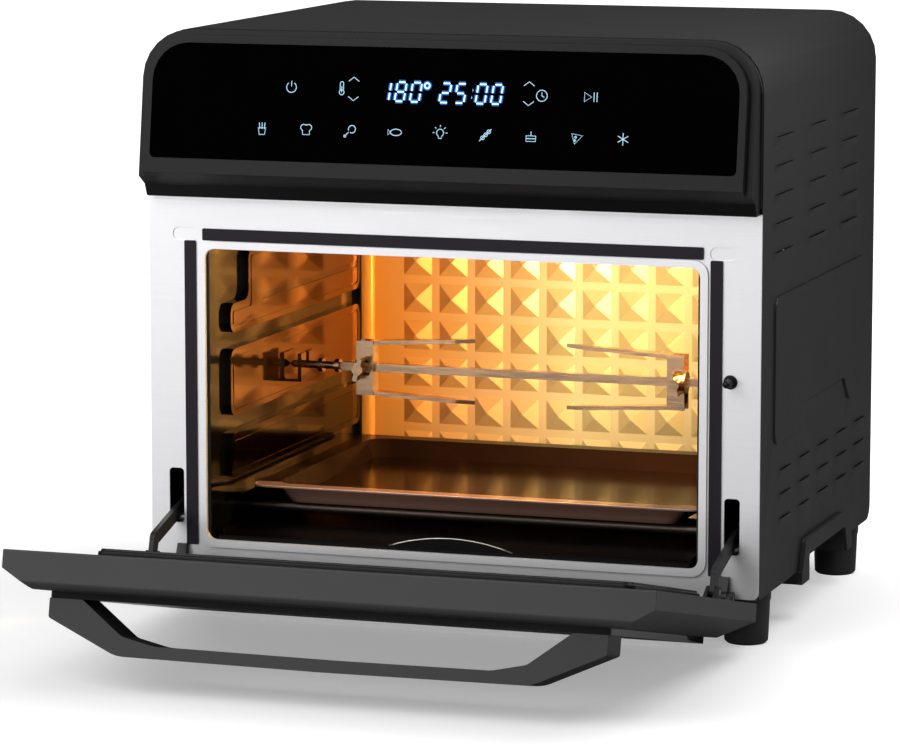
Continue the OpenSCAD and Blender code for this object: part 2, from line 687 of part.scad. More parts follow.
module fan_motor() {
    color([0.4, 0.4, 0.42]) at_body() translate([0, fan_y, motor_z]) difference() {
        union() {
            translate([-30, -30, 5]) cube([60, 60, motor_h - 12]);
            translate([0, 0, 2]) cylinder(h = motor_h - 2, r = 17);
            for (s = [-1, 1]) translate([s * 24, 0, 0]) cylinder(h = 6, r = 4);
        }
        translate([0, 0, -1]) cylinder(h = motor_h + 2, r = shaft_r + run);
    }
}
module lamp_lens() {
    color([1, 0.9, 0.7, 0.6]) at_body() translate([0, lamp_y, lamp_z]) {
        rod_x(panel_half - 2, panel_half - 0.1, lamp_r + 4);
        rod_x(panel_half - 0.2, cav_half + 4, lamp_r);
    }
}
module lamp_holder() {
    color([0.85, 0.83, 0.78]) at_body() translate([0, lamp_y, lamp_z]) {
        difference() {
            union() {
                rod_x(cav_half + 4.2, cav_half + 24, lamp_r);
                rod_x(cav_half + sheet_t + 0.2, cav_half + sheet_t + 2.2, lamp_r + 5);
            }
            rod_x(cav_half - 1, cav_half + 20, lamp_r - 1.5);
            rod_x(cav_half - 1, cav_half + 4.2, lamp_r + 0.2);
        }
        // the bulb and its base
        rod_x(cav_half + 14, cav_half + 21, 5);
        translate([cav_half + 12, 0, 0]) sphere(7);
    }
}

// ---- Rotisserie ----

cradle_w = 11;                        // half the width of the cradle's plates
cradle_low = 10;
cradle_top = 8;
module at_spit() translate([0, spit_y, spit_z]) children();
module spit_support() {
    color([0.75, 0.7, 0.62]) at_body() at_spit() difference() {
        union() {
            // plate on the wall, shelf and cradle
            block([-panel_half + 0.1, -cradle_w, -cradle_low], [-panel_half + 1.6, cradle_w, cradle_top]);
            block([-panel_half + 0.1, -cradle_w, -cradle_low], [-panel_half + 13, cradle_w,
                1.8 - cradle_low]);
            block([-panel_half + 10.4, -cradle_w, -cradle_low], [-panel_half + 13, cradle_w, cradle_top]);
        }
        rod_x(-panel_half + 5, -panel_half + 20, journal_r + run);
        block([-panel_half + 5, -journal_r - run, 0], [-panel_half + 20, journal_r + run, 20]);
    }
}
module spit_motor() {
    color([0.5, 0.5, 0.5]) at_body() at_spit() difference() {
        union() {
            rod_x(cav_half + 10, cav_half + 30, 24);
            // feet to the cavity's wall
            for (s = [-1, 1]) translate([0, s * 27, 0]) rod_x(cav_half + sheet_t, cav_half + 12, 4);
            for (s = [-1, 1]) block([cav_half + 10, s * 27 - 5, -5], [cav_half + 12, s * 27 + 5, 5]);
        }
        rod_x(cav_half, cav_half + 26, socket_shaft_r + run);
    }
}
module spit_socket() {
    color([0.72, 0.72, 0.74]) at_body() at_spit() difference() {
        union() {
            rod_x(cav_half - 18, cav_half + 5, socket_r);
            rod_x(cav_half + 4, cav_half + 25, socket_shaft_r);
        }
        block([cav_half - 20, -spit_a / 2 - run, -spit_a / 2 - run], [tip_x + 2, spit_a / 2 + run,
            spit_a / 2 + run]);
    }
}
module spit_rod() {
    color([0.78, 0.74, 0.68]) at_body() at_spit() {
        block([collar_x, -spit_a / 2, -spit_a / 2], [tip_x, spit_a / 2, spit_a / 2]);
        rod_x(journal_x, collar_x + 1, journal_r);
        for (x = [collar_x - 1, collar_x - 12]) rod_x(x - 3, x, 4.2);
        // pointed end
        rotate([0, -90, 0]) translate([0, 0, -journal_x]) cylinder(h = 2.4, r1 = journal_r, r2 = 0.8);
    }
}
// A fork with its bar at X = 0 and its prongs along +X
module fork() {
    w = 9;
    difference() {
        union() {
            // a bar folded into a channel, open away from the prongs
            block([0, -w / 2, -fork_span / 2], [fork_t, w / 2, fork_span / 2]);
            for (s = [-1, 1]) block([fork_t - 11, s * w / 2 - 0.8, -fork_span / 2],
                                    [fork_t, s * w / 2 + 0.8, fork_span / 2]);
            rod_x(-9, 0.1, hub_r);
            for (s = [-1, 1]) rotate([s > 0 ? 0 : 180, 0, 0]) {
                // a flat prong that splays a little and ends in a point
                translate([0, 0, fork_span / 2 - fork_t]) rotate([0, -3, 0])
                    linear_extrude(fork_t) polygon([[0, -w / 2], [prong_l - 12, -w / 2 + 1.5], [prong_l, 0],
                                                    [prong_l - 12, w / 2 - 1.5], [0, w / 2]]);
            }
        }
        block([-20, -spit_a / 2 - run, -spit_a / 2 - run], [20, spit_a / 2 + run, spit_a / 2 + run]);
        // thread for the thumb screw
        translate([-4.5, 0, 0]) rod_y(-20, 0, 2 + run);
    }
}
module fork_screw() translate([-4.5, 0, 0]) rotate([90, 0, 0]) {
    translate([0, 0, spit_a / 2 + fit]) cylinder(h = 12, r = 2);
    translate([0, 0, hub_r + 2]) linear_extrude(7) rotate(75) {
        circle(3.4);
        obround(15, 3);
    }
}
// The right fork sits a little nearer its wall, beyond the shorter shaft on that side
module at_right_fork() translate([fork_x + 11, 0, 0]) mirror([1, 0, 0]) children();
module fork_left() color([0.8, 0.76, 0.7]) at_body() at_spit() translate([-fork_x, 0, 0]) fork();
module fork_right() color([0.8, 0.76, 0.7]) at_body() at_spit() at_right_fork() fork();
module fork_screw_left() color([0.7, 0.68, 0.65]) at_body() at_spit() translate([-fork_x, 0, 0]) fork_screw();
module fork_screw_right() color([0.7, 0.68, 0.65]) at_body() at_spit() at_right_fork() fork_screw();

// ---- Trays ----

tray_y1 = tray_y0 + tray_l;
tray_flange = 13;
// A rounded pan: outline inset by d at the rim
module pan_outline(d, r) polygon(rounded(box_path(d - tray_half, tray_y0 + d, tray_half - d,
    tray_y1 - d), r));
module baking_tray() {
    color([0.2, 0.15, 0.13]) at_body() {
        translate([0, 0, tray_z - tray_wall]) difference() {
            linear_extrude(tray_wall) pan_outline(0, 12);
            translate([0, 0, -1]) linear_extrude(3) pan_outline(tray_flange - 1, 12);
        }
        // sloping walls and floor
        difference() {
            hull() {
                translate([0, 0, tray_z - 0.2]) linear_extrude(0.1) pan_outline(tray_flange - 1.8, 12);
                translate([0, 0, tray_z - tray_depth]) linear_extrude(0.1) pan_outline(tray_flange + 3, 12);
            }
            hull() {
                translate([0, 0, tray_z]) linear_extrude(0.2) pan_outline(tray_flange - 0.8, 12);
                translate([0, 0,
                    tray_z - tray_depth + tray_wall]) linear_extrude(0.1) pan_outline(tray_flange + 4, 12);
            }
        }
    }
}
crumb_half = open_half - open_r;      // passes between the opening's round corners
crumb_y0 = 2.5;
crumb_y1 = cavity_d - 8;
crumb_z = floor_z + fit;
lip_low = 2.4;                        // height of the crumb tray's front lip
lip_half = 39;                        // half the width of its arc
lip_arc = 6.4;                        // and the arc's rise
module crumb_tray() {
    color([0.6, 0.58, 0.56]) at_body() {
            block([-crumb_half, crumb_y0, crumb_z], [crumb_half, crumb_y1, crumb_z + 0.8]);
            // low rims at the sides and back
            both_sides() block([crumb_half - 0.8, crumb_y0 + 8, crumb_z], [crumb_half, crumb_y1,
                crumb_z + 4]);
            block([-crumb_half, crumb_y1 - 0.8, crumb_z], [crumb_half, crumb_y1, crumb_z + 4]);
            // front lip that rises in an arc for the fingers
            along_y(crumb_y0, crumb_y0 + 0.9) polygon([
                [-crumb_half, crumb_z], [crumb_half, crumb_z], [crumb_half, crumb_z + lip_low],
                for (i = [0:12]) let (k = 1 - i / 6)
                    [lip_half * k, crumb_z + lip_low + lip_arc * (1 - pow(k, 2))],
                [-crumb_half, crumb_z + lip_low]
            ]);
    }
}

// ---- Door ----

// Swings a door piece, drawn closed with its hinge edge at Z = 0 and inner face at Y = 0, to its stop
module at_door() at_body() translate([0, -hinge_out, hinge_z]) rotate([door_open, 0, 0])
    translate([0, hinge_out - door_gap, -hinge_z]) children();
module at_hinge() translate([0, axis_in, hinge_z]) children();

module door_frame() {
    color([0.27, 0.27, 0.28]) at_door() difference() {
        intersection() {
            linear_extrude(door_h) polygon([[-half_w, 0], [half_w, 0], [half_w, -band_t],
                [half_w - bevel_w, -door_t], [-half_w + bevel_w, -door_t], [-half_w, -band_t]]);
            along_x(-half_w - 5, half_w + 5)
                polygon(rounded([[0, 0], [0, door_h], [-door_t, door_h], [-door_t, bevel_w], [-band_t, 0]],
                                [0.8, 1, 5, 3, 1]));
        }
        along_y(-50, 10) polygon(rounded(box_path(-win_half, win_low, win_half, win_high), 8));
        // hollow behind the outer glass, with a wall left round the window and the bolts
        along_y(-50, -door_wall) difference() {
            polygon(box_path(8 - plate_half, plate_low + 4, plate_half - 8, plate_high - 6));
            polygon(rounded(box_path(-win_half - door_wall, win_low - door_wall,
                                     win_half + door_wall, win_high + door_wall), 9));
            for (s = [-1, 1]) translate([s * bolt_x, bolt_z]) circle(9);
        }
        both_sides() at_hinge() rod_x(lug_x - lug_w / 2 - 0.4, lug_x + lug_w / 2 + 0.4, 4.6);
        for (s = [-1, 1]) translate([s * bolt_x, 0, bolt_z]) {
            rod_y(-50, 10, 2.2);
            rod_y(-8, 10, 5);
        }
    }
}
module outer_glass() {
    color([0.03, 0.03, 0.035, 0.8]) at_door() difference() {
        along_y(-handle_y, -door_t) polygon(rounded(box_path(-plate_half, plate_low, plate_half,
            plate_high), 4));
        for (s = [-1, 1]) translate([s * bolt_x, 0, bolt_z]) rod_y(-50, 10, 2.2);
    }
}
module inner_frame() {
    color([0.22, 0.22, 0.23]) at_door() difference() {
        union() {
            along_y(0, carrier_t - 1.5)
                polygon(rounded(box_path(-carrier_half, carrier_low, carrier_half, carrier_high), 6));
            along_y(1, carrier_t) polygon(rounded(box_path(-carrier_half + 1.5, carrier_low + 1.5,
                carrier_half - 1.5, carrier_high - 1.5), 5));
        }
        along_y(-1, 10) polygon(rounded(box_path(-win_half, win_low, win_half, win_high), 8));
        along_y(-1, inner_glass_t + 0.2) polygon(box_path(-win_half - 6, win_low - 6, win_half + 6,
            win_high + 6));
    }
}
module inner_glass() {
    color([0.7, 0.8, 0.8, 0.4]) at_door() along_y(0.1, inner_glass_t + 0.1)
        polygon(box_path(-win_half - 5.5, win_low - 5.5, win_half + 5.5, win_high + 5.5));
}
// The handle's outline across the door: two splayed legs and a long bar
module door_handle() {
    o = handle_y;
    b = handle_y + handle_out;
    half_path = [[handle_foot, -o], [handle_foot, -o - 11], [handle_foot - 42, -b + 0.8],
                 [0, -b], [0, -b + handle_t], [handle_foot - 65, -b + handle_t + 0.6],
                     [handle_foot - 45, -o - 19],
                 [handle_foot - 20, -o]];
    color([0.36, 0.36, 0.37]) at_door() translate([0, 0, handle_z]) difference() {
        both_sides() linear_extrude(handle_w) polygon(rounded(half_path, [0, 2, 22, 0, 0, 26, 8, 0]));
        both_sides() translate([bolt_x, 0, handle_w / 2]) rod_y(-o - 9, -o + 1, 1.9);
    }
}
module handle_bolts() {
    color([0.6, 0.6, 0.6]) at_door() both_sides() translate([bolt_x, 0, bolt_z]) {
        rod_y(-handle_y - 8.5, -7.9, 1.9);
        rod_y(-8, -5, 4.4);
    }
}

// ---- Hinges ----

module hinge_brackets() {
    color([0.08, 0.08, 0.08]) at_body() both_sides() difference() {
        along_x(lug_x - lug_w / 2, lug_x + lug_w / 2) {
            polygon([[0, hinge_z - 4], [0, 13.5], [-2.5, 13.5], [-hinge_out - 1.4, hinge_z + 3.5],
                     [-hinge_out, hinge_z - 4]]);
            translate([-hinge_out, hinge_z]) circle(4);
        }
        translate([0, -hinge_out, hinge_z]) rod_x(half_w - 40, half_w + 5, pin_r + run);
    }
}
module ear(x0, x1, y, z, bore) {
    difference() {
        along_x(x0, x1) intersection() {
            union() {
                translate([y, z]) circle(ear_r);
                polygon([[0, z - ear_r + 0.4], [y, z - ear_r], [y + ear_r * 0.7, z + ear_r * 0.7], [1, z + 9],
                         [0, z + 9]]);
            }
            translate([0, z - 20]) square([20, 50]);
        }
        translate([0, y, z]) rod_x(half_w - 40, half_w + 5, bore);
    }
}
module hinge_plates() {
    color([0.3, 0.3, 0.3]) at_door() both_sides() {
        ear(lug_x - lug_w / 2 - ear_gap - ear_w, lug_x - lug_w / 2 - ear_gap, axis_in, hinge_z, pin_r);
        ear(lug_x + lug_w / 2 + ear_gap, lug_x + lug_w / 2 + ear_gap + ear_w, axis_in, hinge_z, pin_r);
        ear(arm_x - arm_t / 2 - ear_gap - arm_ear_w, arm_x - arm_t / 2 - ear_gap, arm_in, arm_u, pin_r);
        ear(arm_x + arm_t / 2 + ear_gap, arm_x + arm_t / 2 + ear_gap + arm_ear_w, arm_in, arm_u, pin_r);
    }
}
module hinge_pins() {
    color([0.75, 0.75, 0.75]) at_door() both_sides() {
        translate([0, axis_in, hinge_z])
            rod_x(lug_x - lug_w / 2 - ear_gap - ear_w, lug_x + lug_w / 2 + ear_gap + ear_w, pin_r);
        translate([0, arm_in, arm_u])
            rod_x(arm_x - arm_t / 2 - ear_gap - arm_ear_w, arm_x + arm_t / 2 + ear_gap + arm_ear_w, pin_r);
    }
}
module hinge_arm() {
    at_body() difference() {
        along_x(arm_x - arm_t / 2, arm_x + arm_t / 2) {
            bar(arm_pivot, arm_bend, arm_w - 0.4);
            bar(arm_bend, arm_tail, arm_w);
            // the hook that stops on the roller when the door is open
            bar(arm_tail, arm_tail + arm_down * hook_l, hook_w);
        }
        translate([0, arm_pivot.x, arm_pivot.y]) rod_x(half_w - 40, half_w + 5, pin_r + run);
    }
}
module hinge_arm_right() color([0.06, 0.06, 0.06]) hinge_arm();
module hinge_arm_left() color([0.06, 0.06, 0.06]) mirror([1, 0, 0]) hinge_arm();

roller_pin_r = 1.5;
roller_plate_x = slot_x - slot_w / 2 - 1.2;
module roller_brackets() {
    color([0.7, 0.7, 0.72]) at_body() both_sides() {
        block([roller_plate_x - 1.5, face_t + 0.1, 18], [roller_plate_x, 22, 36]);
        block([roller_plate_x - 8, face_t + 0.1, 18], [roller_plate_x - 1, face_t + 1.6, 36]);
        translate([0, roller.x, roller.y]) {
            rod_x(roller_plate_x - 0.5, arm_x + 4.4, roller_pin_r);
            rod_x(arm_x + 2.8, arm_x + 4.4, roller_pin_r + 1);
            rod_x(roller_plate_x - 0.5, arm_x - 2.7, roller_pin_r + 1);
        }
    }
}
module arm_roller() at_body() translate([0, roller.x, roller.y]) difference() {
    rod_x(arm_x - 2.4, arm_x + 2.4, roller_r);
    rod_x(arm_x - 5, arm_x + 5, roller_pin_r + run);
}
module arm_roller_right() color([0.5, 0.5, 0.52]) arm_roller();
module arm_roller_left() color([0.5, 0.5, 0.52]) mirror([1, 0, 0]) arm_roller();

// ---- Door switch ----

pin_out = 8.5;
switch_pin_r = 2.4;
module switch_body() {
    color([0.1, 0.1, 0.1]) at_body() translate([switch_x, 0, switch_z]) difference() {
        union() {
            block([-8, face_t + 0.1, -12], [8, 26, 12]);
            rod_y(-0.6, face_t + 2, switch_hole_r - 0.15);
        }
        rod_y(-5, 22, switch_pin_r + run);
    }
}
module switch_pin() {
    color([0.05, 0.05, 0.05]) at_body() translate([switch_x, 0, switch_z]) {
        rod_y(-pin_out, 8, switch_pin_r);
        translate([0, -pin_out, 0]) sphere(switch_pin_r);
    }
}

outer_shell();
rear_cover();
base_plate();
front_feet();
rear_feet();
side_handle_left();
side_handle_right();
front_frame();
gasket_top();
gasket_left();
gasket_right();
hood();
control_glass();
control_board();
cavity_left();
cavity_right();
cavity_back();
cavity_ceiling();
cavity_floor();
fan_guard();
fan_housing();
convection_fan();
fan_motor();
ring_heater();
lower_heaters();
lamp_lens();
lamp_holder();
tray_ledges();
spit_support();
spit_motor();
spit_socket();
spit_rod();
fork_left();
fork_right();
fork_screw_left();
fork_screw_right();
baking_tray();
crumb_tray();
door_frame();
outer_glass();
inner_frame();
inner_glass();
door_handle();
handle_bolts();
hinge_brackets();
hinge_plates();
hinge_pins();
hinge_arm_left();
hinge_arm_right();
roller_brackets();
arm_roller_left();
arm_roller_right();
switch_body();
switch_pin();
cord_gland();
cover_screws();
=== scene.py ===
"""Rotisserie oven: finishes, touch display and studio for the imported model."""

import json
import math

import bmesh
import bpy
from mathutils import Euler, Matrix, Vector


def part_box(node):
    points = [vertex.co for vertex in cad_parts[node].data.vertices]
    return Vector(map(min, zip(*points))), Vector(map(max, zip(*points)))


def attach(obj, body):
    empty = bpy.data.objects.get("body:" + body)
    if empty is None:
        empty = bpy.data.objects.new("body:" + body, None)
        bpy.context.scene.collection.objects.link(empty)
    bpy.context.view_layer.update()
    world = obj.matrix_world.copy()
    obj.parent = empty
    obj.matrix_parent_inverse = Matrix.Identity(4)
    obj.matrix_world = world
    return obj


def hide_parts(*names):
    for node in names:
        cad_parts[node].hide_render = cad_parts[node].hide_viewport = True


bl_info = {
    "name": "Rotisserie Oven",
    "version": (1, 0, 0),
    "blender": (4, 5, 0),
    "location": "View3D > Sidebar > Oven",
    "description": "Dresses a countertop rotisserie oven with its finishes, touch display and studio",
    "category": "Add Mesh",
}

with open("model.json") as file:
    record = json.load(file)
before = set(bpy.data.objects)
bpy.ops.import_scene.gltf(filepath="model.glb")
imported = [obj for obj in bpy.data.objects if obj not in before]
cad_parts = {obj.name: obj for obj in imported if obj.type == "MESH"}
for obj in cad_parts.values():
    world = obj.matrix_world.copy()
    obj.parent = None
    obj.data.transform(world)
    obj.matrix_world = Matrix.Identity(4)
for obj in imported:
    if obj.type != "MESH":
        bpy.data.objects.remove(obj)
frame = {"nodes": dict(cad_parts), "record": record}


# ---------------------------------------------------------------- settings


def colour(name, description, default):
    """A colour setting, in linear RGB."""
    return bpy.props.FloatVectorProperty(
        name=name, description=description, default=default, size=3, min=0.0, max=1.0, subtype="COLOR"
    )


def length(name, description, default):
    """A length setting in metres."""
    return bpy.props.FloatProperty(
        name=name, description=description, default=default, min=0.0, unit="LENGTH", precision=4
    )


def power(name, description, default):
    """A lamp's power setting in watts."""
    return bpy.props.FloatProperty(name=name, description=description, default=default, unit="POWER")


class OvenFinishSettings(bpy.types.PropertyGroup):
    """Colours of the oven's finishes: its own, and in the cavity partly painted lamp light."""

    shell: colour("Shell paint", "Powder coat of the outer shell", (0.017, 0.017, 0.0175))
    housing: colour("Housing plastic", "Plastic round the control glass", (0.007, 0.007, 0.0072))
    door: colour("Door plastic", "Plastic of the door frame", (0.036, 0.036, 0.037))
    handle: colour("Handle plastic", "Plastic of the door handle", (0.026, 0.026, 0.027))
    stainless: colour("Stainless face", "Brushed face round the opening", (0.955, 0.945, 0.965))
    # the cavity's warm colours are partly heat tint and partly painted warm lamp light; the back's pale colour
    # near the lamp is painted light
    cavity: colour("Cavity steel", "Heat-tinted steel inside the oven", (0.22, 0.105, 0.032))
    back: colour("Cavity back", "Steel of the cavity's back wall, left", (1.0, 0.36, 0.022))
    back_painted_light: colour("Cavity back, painted light", "Steel of the cavity's back wall near the lamp", (0.60, 0.54, 0.42))
    enamel: colour("Tray enamel", "Dark enamel of the baking tray", (0.016, 0.007, 0.005))
    edge: length("Edge rounding", "Width of the rounded edges of the moulded parts", 0.0008)


class OvenDisplaySettings(bpy.types.PropertyGroup):
    """What the touch display shows, and how strongly it shines."""

    temperature: bpy.props.StringProperty(
        name="Temperature", description="Digits of the temperature readout", default="180"
    )
    clock: bpy.props.StringProperty(
        name="Time", description="Digits of the time readout", default="25:00"
    )
    digit_height: length("Digit height", "Height of a digit on the glass", 0.0112)
    bar: length("Bar width", "Width of the lit bars of a digit", 0.00105)
    line: length("Line width", "Width of the lines that the touch symbols are drawn with", 0.0005)
    glow: colour("Light", "Colour of the lit symbols", (0.46, 0.80, 1.0))
    halo: colour("Halo", "Colour round the lit digits", (0.0, 0.10, 0.42))


class OvenStudioSettings(bpy.types.PropertyGroup):
    """The camera's place and the studio's lamps."""

    camera_place: bpy.props.FloatVectorProperty(
        name="Camera", description="Where the camera stands", subtype="TRANSLATION", size=3,
        default=(0.8056, -2.4581, 0.5335),
    )
    camera_turn: bpy.props.FloatProperty(
        name="Turn", description="Turn of the camera to its left", subtype="ANGLE",
        default=math.radians(18.37),
    )
    camera_tilt: bpy.props.FloatProperty(
        name="Tilt", description="Tilt of the camera down", subtype="ANGLE", default=math.radians(8.43)
    )
    camera_lens: bpy.props.FloatProperty(
        name="Lens", description="Focal length on a 36 mm sensor, in millimetres", default=174.56, min=10.0
    )
    key_power: power("Key light", "Power of the soft light over the oven's front left", 45.0)
    fill_power: power("Fill light", "Power of the soft light on the oven's right", 1.3)
    top_power: power("Top light", "Power of the soft light over the oven", 7.0)
    card_power: power("Card", "Power of the low light that the steel face mirrors", 14.0)
    cavity_power: power("Oven lamp", "Power of the warm lamp inside the oven", 1.5)


# ---------------------------------------------------------------- node groups

# A colour Mix node's sockets: its share and two colours, and the mixed colour
SHARE, FIRST, SECOND, MIXED = 0, 6, 7, 2


def group(name, inputs, outputs):
    """An empty shader node group with the named sockets: the tree, its input node and its output node."""
    tree = bpy.data.node_groups.new(name, "ShaderNodeTree")
    for label, kind, value in inputs:
        socket = tree.interface.new_socket(label, in_out="INPUT", socket_type=kind)
        if value is not None:
            socket.default_value = value
    for label, kind in outputs:
        tree.interface.new_socket(label, in_out="OUTPUT", socket_type=kind)
    return tree, tree.nodes.new("NodeGroupInput"), tree.nodes.new("NodeGroupOutput")


def add(tree, kind, **values):
    """Adds a node. Values name a property of the node or, with an upper-case start, an input socket."""
    made = tree.nodes.new(kind)
    for key, value in values.items():
        socket = key.replace("_", " ")
        if key[0].isupper() and socket in made.inputs:
            made.inputs[socket].default_value = value
        else:
            setattr(made, key, value)
    return made


def noise_on(tree, size, **values):
    """Noise on Object coordinates, with lumps as large as the socket size says. Returns its socket."""
    place = add(tree, "ShaderNodeTexCoord")
    scale = add(tree, "ShaderNodeMath", operation="DIVIDE")
    scale.inputs[0].default_value = 1.0
    tree.links.new(size, scale.inputs[1])
    noise = add(tree, "ShaderNodeTexNoise", **values)
    tree.links.new(place.outputs["Object"], noise.inputs["Vector"])
    tree.links.new(scale.outputs[0], noise.inputs["Scale"])
    return noise.outputs["Fac"]


def grain_group():
    """Fine moulded or powder-coat grain: a height and a slow variation between 0 and 1."""
    tree, given, out = group(
        "Surface grain",
        [("Size", "NodeSocketFloat", 0.0008), ("Patch Size", "NodeSocketFloat", 0.06)],
        [("Height", "NodeSocketFloat"), ("Patches", "NodeSocketFloat")],
    )
    for size, detail, name in (("Size", 3.0, "Height"), ("Patch Size", 2.0, "Patches")):
        noise = noise_on(tree, given.outputs[size], Detail=detail, Roughness=0.55)
        tree.links.new(noise, out.inputs[name])


def brush_group():
    """Brush lines drawn out along X, as on stainless sheet: a height and a mask of lighter lines."""
    tree, given, out = group(
        "Brushed lines",
        [("Line Pitch", "NodeSocketFloat", 0.0005), ("Line Length", "NodeSocketFloat", 0.05)],
        [("Height", "NodeSocketFloat"), ("Lines", "NodeSocketFloat")],
    )
    place = add(tree, "ShaderNodeTexCoord")
    split = add(tree, "ShaderNodeSeparateXYZ")
    tree.links.new(place.outputs["Object"], split.inputs[0])
    join = add(tree, "ShaderNodeCombineXYZ")
    for axis, size in (("X", "Line Length"), ("Y", "Line Pitch"), ("Z", "Line Pitch")):
        share = add(tree, "ShaderNodeMath", operation="DIVIDE")
        tree.links.new(split.outputs[axis], share.inputs[0])
        tree.links.new(given.outputs[size], share.inputs[1])
        tree.links.new(share.outputs[0], join.inputs[axis])
    noise = add(tree, "ShaderNodeTexNoise", Scale=1.0, Detail=4.0, Roughness=0.6)
    tree.links.new(join.outputs[0], noise.inputs["Vector"])
    ramp = add(tree, "ShaderNodeMapRange", From_Min=0.35, From_Max=0.65)
    tree.links.new(noise.outputs["Fac"], ramp.inputs["Value"])
    tree.links.new(noise.outputs["Fac"], out.inputs["Height"])
    tree.links.new(ramp.outputs["Result"], out.inputs["Lines"])


def smudge_group():
    """Faint wiping marks on glass and enamel, between 0 and 1."""
    tree, given, out = group(
        "Wiping marks", [("Size", "NodeSocketFloat", 0.05)], [("Marks", "NodeSocketFloat")]
    )
    noise = noise_on(tree, given.outputs["Size"], Detail=5.0, Roughness=0.62, Distortion=0.8)
    ramp = add(tree, "ShaderNodeMapRange", From_Min=0.42, From_Max=0.7)
    tree.links.new(noise, ramp.inputs["Value"])
    tree.links.new(ramp.outputs["Result"], out.inputs["Marks"])


# ---------------------------------------------------------------- materials

NOWHERE = 9.0  # metres, beyond every piece
# painted shade: black laid on steel where it shows only in a shaded gap
PAINTED_GAP_SHADE = (0.008, 0.008, 0.008)
# painted shade: the dark grey of the cavity walls' outside
OUTSIDE_PAINTED_SHADE = (0.05, 0.05, 0.05)
PATCH_CONTRAST = 0.12
ROUGHNESS_SPREAD = 0.05

# The cavity's steel, in metres: its left end, where it changes tone with painted shade beside the lamp and
# under the ceiling, and how deep past a wall's face its heat tint and painted lamp light start and end to give
# way to the dark grey painted shade outside
CAVITY_LEFT = -0.14
BESIDE_LAMP = (0.0, 0.13)
UNDER_CEILING = (0.17, 0.235)
TINT_DEPTH = (0.0005, 0.0007)


def shade(rgb, factor):
    """A colour made lighter or darker."""
    return tuple(min(1.0, channel * factor) for channel in rgb)


class Finish:
    """One material being built: its node tree, its Principled shader and short ways to wire them."""

    def __init__(self, name, **values):
        self.material = bpy.data.materials.new(name)
        self.material.use_nodes = True
        self.tree = self.material.node_tree
        self.shader = self.tree.nodes["Principled BSDF"]
        for key, value in values.items():
            self.shader.inputs[key.replace("_", " ")].default_value = value

    def use(self, group_name, **values):
        """Places one of the shared node groups. Returns its output sockets."""
        made = self.tree.nodes.new("ShaderNodeGroup")
        made.node_tree = bpy.data.node_groups[group_name]
        for key, value in values.items():
            made.inputs[key.replace("_", " ")].default_value = value
        return made.outputs

    def wire(self, source, target):
        """Links a socket to another one."""
        self.tree.links.new(source, target)

    def feed(self, source, target):
        """Links a socket to an input of the shader."""
        self.wire(source, self.shader.inputs[target])

    def axes(self):
        """The sockets X, Y and Z of the Object coordinates."""
        place = add(self.tree, "ShaderNodeTexCoord")
        split = add(self.tree, "ShaderNodeSeparateXYZ")
        self.wire(place.outputs["Object"], split.inputs[0])
        return split.outputs

    def span(self, source, start, end, low, high, curve="LINEAR"):
        """A socket that runs from low to high while source runs from start to end."""
        made = add(
            self.tree, "ShaderNodeMapRange", From_Min=start, From_Max=end, To_Min=low, To_Max=high,
            interpolation_type=curve,
        )
        self.wire(source, made.inputs["Value"])
        return made.outputs["Result"]

    def tint(self, mask, first, second):
        """Base Color runs from first to second with mask. Returns the mixed colour's socket."""
        mix = add(self.tree, "ShaderNodeMix", data_type="RGBA")
        mix.inputs[FIRST].default_value = (*first, 1.0)
        mix.inputs[SECOND].default_value = (*second, 1.0)
        self.wire(mask, mix.inputs[SHARE])
        self.feed(mix.outputs[MIXED], "Base Color")
        return mix.outputs[MIXED]

    def cover(self, colour_socket, mask, rgb):
        """A colour with rgb laid over it where mask is 1."""
        mix = add(self.tree, "ShaderNodeMix", data_type="RGBA")
        mix.inputs[SECOND].default_value = (*rgb, 1.0)
        self.wire(mask, mix.inputs[SHARE])
        self.wire(colour_socket, mix.inputs[FIRST])
        return mix.outputs[MIXED]

    def dim(self, colour_socket, factor):
        """A colour times the socket factor."""
        mix = add(self.tree, "ShaderNodeMix", data_type="RGBA", blend_type="MULTIPLY")
        mix.inputs[SHARE].default_value = 1.0
        self.wire(colour_socket, mix.inputs[FIRST])
        self.wire(factor, mix.inputs[SECOND])
        return mix.outputs[MIXED]

    def vary(self, mask, low, high):
        """Roughness runs from low to high with mask."""
        self.feed(self.span(mask, 0.0, 1.0, low, high), "Roughness")

    def bump(self, height, strength, distance):
        """A bump from height, distance in metres."""
        bump = add(self.tree, "ShaderNodeBump", Strength=strength, Distance=distance)
        self.wire(height, bump.inputs["Height"])
        self.feed(bump.outputs["Normal"], "Normal")

    def wiping_marks(self, rgb, roughness):
        """A colour and roughness with faint wiping marks. Returns the colour's socket."""
        marks = self.use("Wiping marks", Size=0.05)["Marks"]
        self.vary(marks, roughness, roughness + 0.04)
        return self.tint(marks, rgb, shade(rgb, 1.25))


def plastic(name, rgb, roughness, grain=0.0006, depth=0.00004, shine=0.35):
    """Moulded or powder-coated surface with fine grain and slow patches."""
    made = Finish(name, Roughness=roughness, Specular_IOR_Level=shine)
    surface = made.use("Surface grain", Size=grain, Patch_Size=0.05)
    patches = surface["Patches"]
    made.tint(patches, shade(rgb, 1 - PATCH_CONTRAST), shade(rgb, 1 + PATCH_CONTRAST))
    made.vary(patches, roughness - ROUGHNESS_SPREAD, roughness + ROUGHNESS_SPREAD)
    made.bump(surface["Height"], 0.35, depth)
    return made.material


